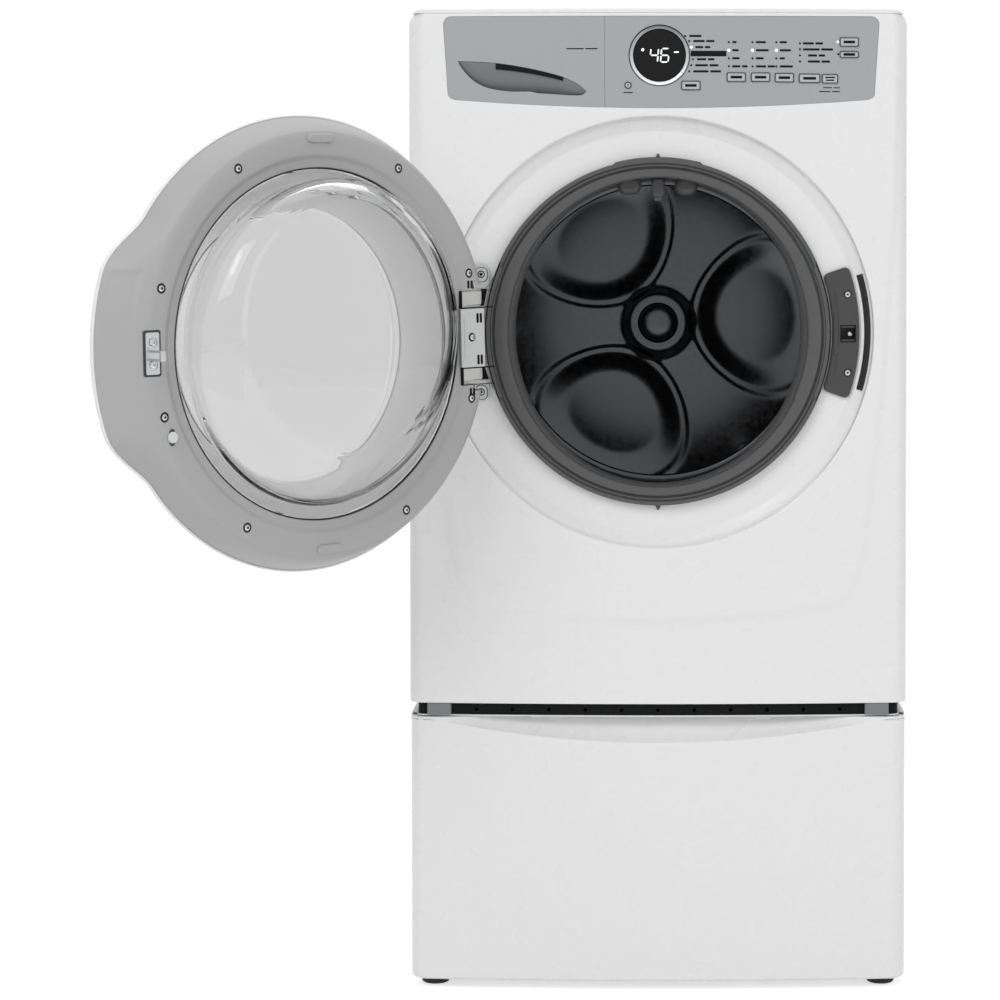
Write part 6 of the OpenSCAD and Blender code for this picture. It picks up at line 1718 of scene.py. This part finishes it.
def dispenser_face():
    """The dispenser's front with its finger scoop, deep under the upper edge and running out below."""
    plate = console_plate("dispenser_face", -400, SPLIT, -0.3)
    rim = []
    steps = 44
    for i in range(steps + 1):
        t = i / steps
        rim.append((SCOOP_TIP + (SCOOP_END - SCOOP_TIP) * t, scoop_reach(t)))
    edge = [panel_point(x, top) for x, (top, low) in rim]
    edge += [panel_point(x, low) for x, (top, low) in reversed(rim[1:-1])]
    cut(plate, extruded("scoop_cut", edge[::-1], -5, 22))
    round_edges(plate, 0.35 * MM, angle=50, segments=2)
    # the scoop's bowl, lofted from its tip to its end
    rows = 9
    loops = []
    for column, (top, low) in rim:
        loop = []
        for k in range(rows):
            share = k / (rows - 1)
            x, z = panel_point(column, top + (low - top) * share)
            reach = scoop_hollow(x)
            depth = 2.0 + 13.4 * reach * share ** 1.25
            loop.append((x, bow(x * MM) / MM + depth, z))
        loops.append(loop)
    start()
    bpy.ops.mesh.primitive_grid_add(x_subdivisions=steps, y_subdivisions=rows - 1, size=1)
    bowl = bpy.context.object
    bowl.name = bowl.data.name = "scoop_bowl"
    for vertex in bowl.data.vertices:
        i, k = round((vertex.co.x + 0.5) * steps), round((vertex.co.y + 0.5) * (rows - 1))
        x, depth, z = loops[i][k]
        vertex.co = (x * MM, FRONT_Y + depth * MM, z * MM)
    tidy_mesh(bowl, angle=60)
    face_front(bowl)
    use(bowl, "SOLIDIFY", thickness=1.4 * MM, offset=-1.0)
    # the ledge that closes the scoop along its lower edge
    sides = []
    for column, (top, low) in rim[1:-1]:
        x, z = panel_point(column, low)
        reach = scoop_hollow(x)
        front, deep = bow(x * MM) / MM + 1.4, bow(x * MM) / MM + 3.2 + 13.4 * reach
        sides.append([(x, front, z - 0.3), (x, deep, z - 0.3), (x, deep, z - 1.7),
                      (x, front + 1.6, z - 1.7)])
    wall = lofted("scoop_ledge", sides)
    block = extruded("scoop_block", rounded_box(-280, -87, 1232.6, 1318.6, 3), 30.4, 36.0, bevel=0.8)
    made = join("dispenser_front", plate, block)
    place(made, "dispenser", "console_plastic", "dispenser_front")
    # painted shade: the scoop's hollow takes a darker silver than the face round it
    place(join("scoop_hollow", bowl, wall), "dispenser", "console_plastic",
          finish=FINISHES["painted_shade_plastic"])
    # painted shade: a near-black plate for the dark slot under the upper edge
    slot = [(x, top) for x, (top, low) in rim if SLOT_X0 <= x <= SLOT_X1]
    points = [panel_point(x, top + 0.55) for x, top in slot]
    points += [panel_point(x, top + 8.8 - 3.3 * (x - SLOT_X0) / (SLOT_X1 - SLOT_X0)) for x,
               top in reversed(slot)]
    dark = extruded("scoop_slot_shade", points[::-1], 0, 3.0)
    for vertex in dark.data.vertices:
        vertex.co.y += bow(vertex.co.x) + 0.9 * MM
    place(dark, "dispenser", "dark_plastic", finish=FINISHES["ink_and_painted_shade"])


fascia()
key_caps()
power_key()
display()
lamps_and_marks()
dispenser_face()

inner_frame()
outer_shell()
outer_window()
door_screws()
strike()
bumper()
glass_bowl()

# ---- the pedestal's drawer, and the edges of the CAD sheets ----

DRAWER_HALF, DRAWER_Z0, DRAWER_Z1, SCOOP_HALF, SCOOP_DROP = 0.3412, 14.4 * MM, 377 * MM, 316 * MM, 32 * MM


def drawer_profile(x):
    """Heights and depths down one column of the drawer's front, from its top's back to its base's back."""
    drop = SCOOP_DROP * max(0.0, 1 - (x / SCOOP_HALF) ** 2)
    edge = DRAWER_Z1 - drop - 0.0022
    deep = 0.036 * smooth(drop / 0.03)
    roll = 0.0022
    rows = [(DRAWER_Z1, 0.0388), (DRAWER_Z1, deep + roll)]
    rows += [(DRAWER_Z1 - roll * (1 - math.cos(math.radians(a))),
              deep + roll * (1 - math.sin(math.radians(a)))) for a in (30, 60, 90)]
    # the scoop's concave slope, then its rounded lower edge
    for i in range(1, 13):
        t = i / 12
        low = DRAWER_Z1 - roll - (drop - roll * 0.2) * t if drop > roll else DRAWER_Z1 - roll - 0.0002 * i
        rows.append((low, deep * (1 - t) ** 0.78 if drop > roll else 0.0))
    rows += [(edge - 0.0028 * t - 0.0004, -0.0) for t in (0.1, 0.5, 1.0)]
    rows += [(edge - 0.004 - (edge - 0.004 - DRAWER_Z0 - 0.004) * t / 8, 0.0) for t in range(1, 9)]
    rows += [(DRAWER_Z0 + 0.004 * (1 - math.sin(math.radians(a))), 0.004 * (1 - math.cos(math.radians(a))))
             for a in (30, 60, 90)]
    rows.append((DRAWER_Z0, 0.0388))
    return rows


def drawer_front():
    """The drawer's bowed front with its finger scoop, rolled edges and back sheet."""
    columns = 240
    rows = len(drawer_profile(0.0))
    start()
    bpy.ops.mesh.primitive_grid_add(x_subdivisions=columns, y_subdivisions=rows - 1, size=1,
                                    rotation=(math.pi / 2, 0, 0))
    skin = bpy.context.object
    skin.name = skin.data.name = "drawer_face"
    settle(skin)
    for vertex in skin.data.vertices:
        share = 2 * vertex.co.x
        s = math.copysign(1 - (1 - abs(share)) ** 1.0, share) * 0.3606
        row = round((0.5 - vertex.co.z) * (rows - 1))
        flat_x = min(abs(s), DRAWER_HALF - 0.001)
        z, back = drawer_profile(flat_x)[row]
        over = 0.007 - (z - DRAWER_Z0)
        half = DRAWER_HALF - (0.007 - math.sqrt(max(0.0, 0.007 ** 2 - over * over)) if over > 0 else 0)
        x, d, _ = front_point(s, 0.2, half, step=lambda a, b: 0.0)
        vertex.co = (x, FRONT_Y + min(0.0388, max(d, back) if back > 0.03 else d + back) + 0.0005, z)
    tidy_mesh(skin, angle=42)
    face_front(skin)
    use(skin, "SOLIDIFY", thickness=1.4 * MM, offset=-1.0)
    sheet = extruded("drawer_back_sheet", rounded_box(-330, 330, 16, 320, 4), 38.2, 39.6, bevel=0.4)
    place(join("drawer_face_and_back", skin, sheet), "drawer", "white_paint", "drawer_front")


def feet():
    """Four levelling feet: a rubber pad, its tapered shoulder and a stem."""
    low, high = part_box("pedestal_feet")
    pads = []
    for x in (low.x + 19 * MM, high.x - 19 * MM):
        for y in (low.y + 14 * MM, high.y - 19 * MM):
            rows = [(0.1, 0.2), (15.5, 0.2), (17.4, 0.6), (18.6, 1.6), (19, 3), (19, 5.4), (18.4, 6.4),
                    (16.4, 11.4), (15.2, 12.6),
                    (7.2, 12.8), (7.2, 13.0), (4.6, 13.1), (4.6, 37), (4, 37.8), (0.1, 37.8)]
            pad = lofted("foot", [[(r * math.cos(math.tau * i / 40), r * math.sin(math.tau * i / 40), z)
                                   for i in range(40)]
                                  for r, z in rows])
            pad.data.transform(Matrix.Translation((x, y - FRONT_Y, 0)))
            pads.append(pad)
    place(join("levelling_feet", *pads), "cabinet", "black_rubber", "pedestal_feet")


drawer_front()
feet()

EDGES = {"top_panel": 2.0, "rear_panel": 0.7, "washer_feet": 1.4, "pedestal_cabinet": 1.2,
         "drawer_box": 0.6, "pedestal_rails": 0.5, "dispenser_tray": 0.8}


def soften_nodes():
    """Welds the CAD sheets that are shown as they are, and rounds their edges, each by its own radius."""
    for name, radius in EDGES.items():
        if name not in NODES:
            continue
        piece = NODES[name]
        weld = piece.modifiers.new("weld", "WELD")
        weld.merge_threshold = 0.00001
        edge = piece.modifiers.new("edge", "BEVEL")
        edge.width = radius * MM
        edge.segments = 3
        edge.limit_method = "ANGLE"
        edge.angle_limit = math.radians(35)
        edge.use_clamp_overlap = True


soften_nodes()

# ---- the cabinet's sides and back ----


def cabinet():
    """Folded side and back sheet with its openings, ribs, screws and the two braces across the top."""
    half, deep, port = HALF_W / MM, 740.0, PORT_UP
    loop = []
    for inset, way in ((0.0, 1), (1.3, -1)):
        side = [(-half + inset, 42.4)]
        for cx, first in ((-half + 7, 180), (half - 7, 90)):
            side += [(cx + (7 - inset) * math.cos(math.radians(first - 15 * i)),
                      deep - 7 + (7 - inset) * math.sin(math.radians(first - 15 * i)))
                     for i in range(7)]
        side.append((half - inset, 42.4))
        loop += side[::way]
    wrap = upright("cabinet_wrap", loop, WASHER_Z / MM + 0.3, 1323.6)
    tools = [extruded("service_cut", rounded_box(-190, 190, port - 250, port + 250, 6), deep - 10,
                      deep + 5),
             extruded("socket_cut", rounded_box(-245.4, -194.6, 1247.6, 1288.4, 1), deep - 10, deep + 5),
             extruded("drain_cut", disc(-230, 480, 19, 32), deep - 10, deep + 5)]
    tools += [extruded("inlet_cut", disc(x, 1273, 16, 32), deep - 10, deep + 5) for x in (168, 232)]
    tools += [extruded("transit_cut", disc(x, port + z, 7, 24), deep - 10, deep + 5) for x in (-240, 240)
              for z in (-150, 150)]
    cut(wrap, *tools)
    parts = []
    # pressed ribs beside the service panel and under it, and a seam down each side of the back
    for x0, x1, z0, z1 in ((-312, -280, 470, 1190), (280, 312, 470, 1190), (-170, 170, 560, 592),
                           (-170, 170, 500, 532),
                           (-326, -322.5, 400, 1318), (322.5, 326, 400, 1318)):
        wide = min(x1 - x0, z1 - z0)
        parts.append(extruded("pressed_rib", rounded_box(x0, x1, z0, z1, 0.46 * wide), deep - 0.4,
                              deep + 1.0, bevel=min(0.9, 0.2 * wide),
                              segments=3))
    for z in (port - 150, port + 150):
        for x in (-240, 240):
            parts.append(spun("transit_collar", [(7.0, deep - 1), (7.0, deep + 0.4), (7.8, deep + 1.2),
                                                 (10.4, deep + 1.2), (12.4, deep + 0.1),
                                                 (12.4, deep - 1)], steps=32))
            shifted(parts[-1], x * MM, z * MM)
    for d in (150, 600):
        parts.append(extruded("top_brace", rounded_box(-half + 2, half - 2, 1284, 1312, 3), d, d + 30,
                              bevel=1.0))
    place(join("cabinet_sides_and_back", wrap, *parts), "cabinet", "white_paint", "cabinet_shell")
    head = screw("rear_screw", 4.6 * MM, 2.4 * MM, 2.2 * MM)
    spots = [(x, z) for x in (-195, 195) for z in (port - 240, port - 80, port + 80, port + 240)]
    spots += [(x, z) for x in (-90, 90) for z in (port - 255, port + 255)]
    spots += [(x, z) for x in (-334, 334) for z in (430, 640, 880, 1110, 1300)]
    heads = [copied(head, "head", move(x, deep + (1.4 if abs(x) < 200 else -0.1), z - port)) for x,
             z in spots]
    bpy.data.objects.remove(head, do_unlink=True)
    place(join("rear_screws", *heads), "cabinet", "bright_steel")


cabinet()
# ---- studio ----


def white_rays(tree):
    """1 for the rays that should find a white background: seen, mirrored or through glass."""
    path = add(tree, "ShaderNodeLightPath")
    clear = add(tree, "ShaderNodeMath", {}, {0: path.outputs["Is Camera Ray"],
                                             1: path.outputs["Is Transmission Ray"]},
                operation="MAXIMUM")
    return add(tree, "ShaderNodeMath", {}, {0: clear.outputs[0], 1: path.outputs["Is Glossy Ray"]},
               operation="MAXIMUM").outputs[0]


def studio():
    """Pale floor, soft lamps and the camera in front of the porthole."""
    bpy.ops.mesh.primitive_plane_add(size=24, location=(0, 4, 0))
    floor = bpy.context.object
    floor.name = "studio_floor"
    made = bpy.data.materials.new("studio_white")
    made.use_nodes = True
    tree = made.node_tree
    tree.nodes.clear()
    matt = add(tree, "ShaderNodeBsdfDiffuse", {"Color": linear("#F2F2F2")})
    level = add(tree, "ShaderNodeMapRange", {"To Min": 0.0, "To Max": 0.6}, {"Value": white_rays(tree)})
    glow = add(tree, "ShaderNodeEmission", {"Color": (1, 1, 1, 1)}, {"Strength": level.outputs[0]})
    both = add(tree, "ShaderNodeAddShader", {}, {0: matt.outputs[0], 1: glow.outputs[0]})
    add(tree, "ShaderNodeOutputMaterial", links={"Surface": both.outputs[0]})
    floor.data.materials.append(made)

    world = bpy.data.worlds.new("studio_world")
    bpy.context.scene.world = world
    world.use_nodes = True
    tree = world.node_tree
    tree.nodes.clear()
    level = add(tree, "ShaderNodeMapRange", {"To Min": 0.5, "To Max": 1.0}, {"Value": white_rays(tree)})
    sky = add(tree, "ShaderNodeBackground", {"Color": (1, 1, 1, 1)}, {"Strength": level.outputs[0]})
    add(tree, "ShaderNodeOutputWorld", links={"Surface": sky.outputs[0]})

    lamps = (
        ("key_softbox", (-1.6, -3.6, 3.4), (0, -0.2, 0.9), 2.6, 50),
        ("glint_softbox", (-1.6, -3.6, 3.5), (0, -0.2, 0.9), 1.1, 9),
        ("fill_softbox", (2.6, -3.2, 1.8), (0, -0.2, 0.7), 2.4, 24),
        ("top_softbox", (0, 0.3, 3.6), (0, 0, 0.8), 2.4, 30),
    )
    for name, place, aim, size, watts in lamps:
        lamp = bpy.data.lights.new(name, "AREA")
        lamp.size = size
        lamp.energy = watts
        holder = bpy.data.objects.new(name, lamp)
        bpy.context.scene.collection.objects.link(holder)
        holder.location = place
        holder.rotation_euler = (Vector(aim) - Vector(place)).to_track_quat("-Z", "Y").to_euler()
        holder.visible_glossy = name == "glint_softbox"

    eye = bpy.data.cameras.new("studio_camera")
    eye.lens = 99.64
    eye.sensor_width = 36.0
    eye.shift_x = -0.158
    eye.shift_y = -0.204
    holder = bpy.data.objects.new("studio_camera", eye)
    bpy.context.scene.collection.objects.link(holder)
    holder.location = (0, FRONT_Y - 3.782, 1.022)
    holder.rotation_euler = (math.radians(89), 0, 0)
    bpy.context.scene.camera = holder
    bpy.context.scene.view_settings.view_transform = "Standard"


studio()
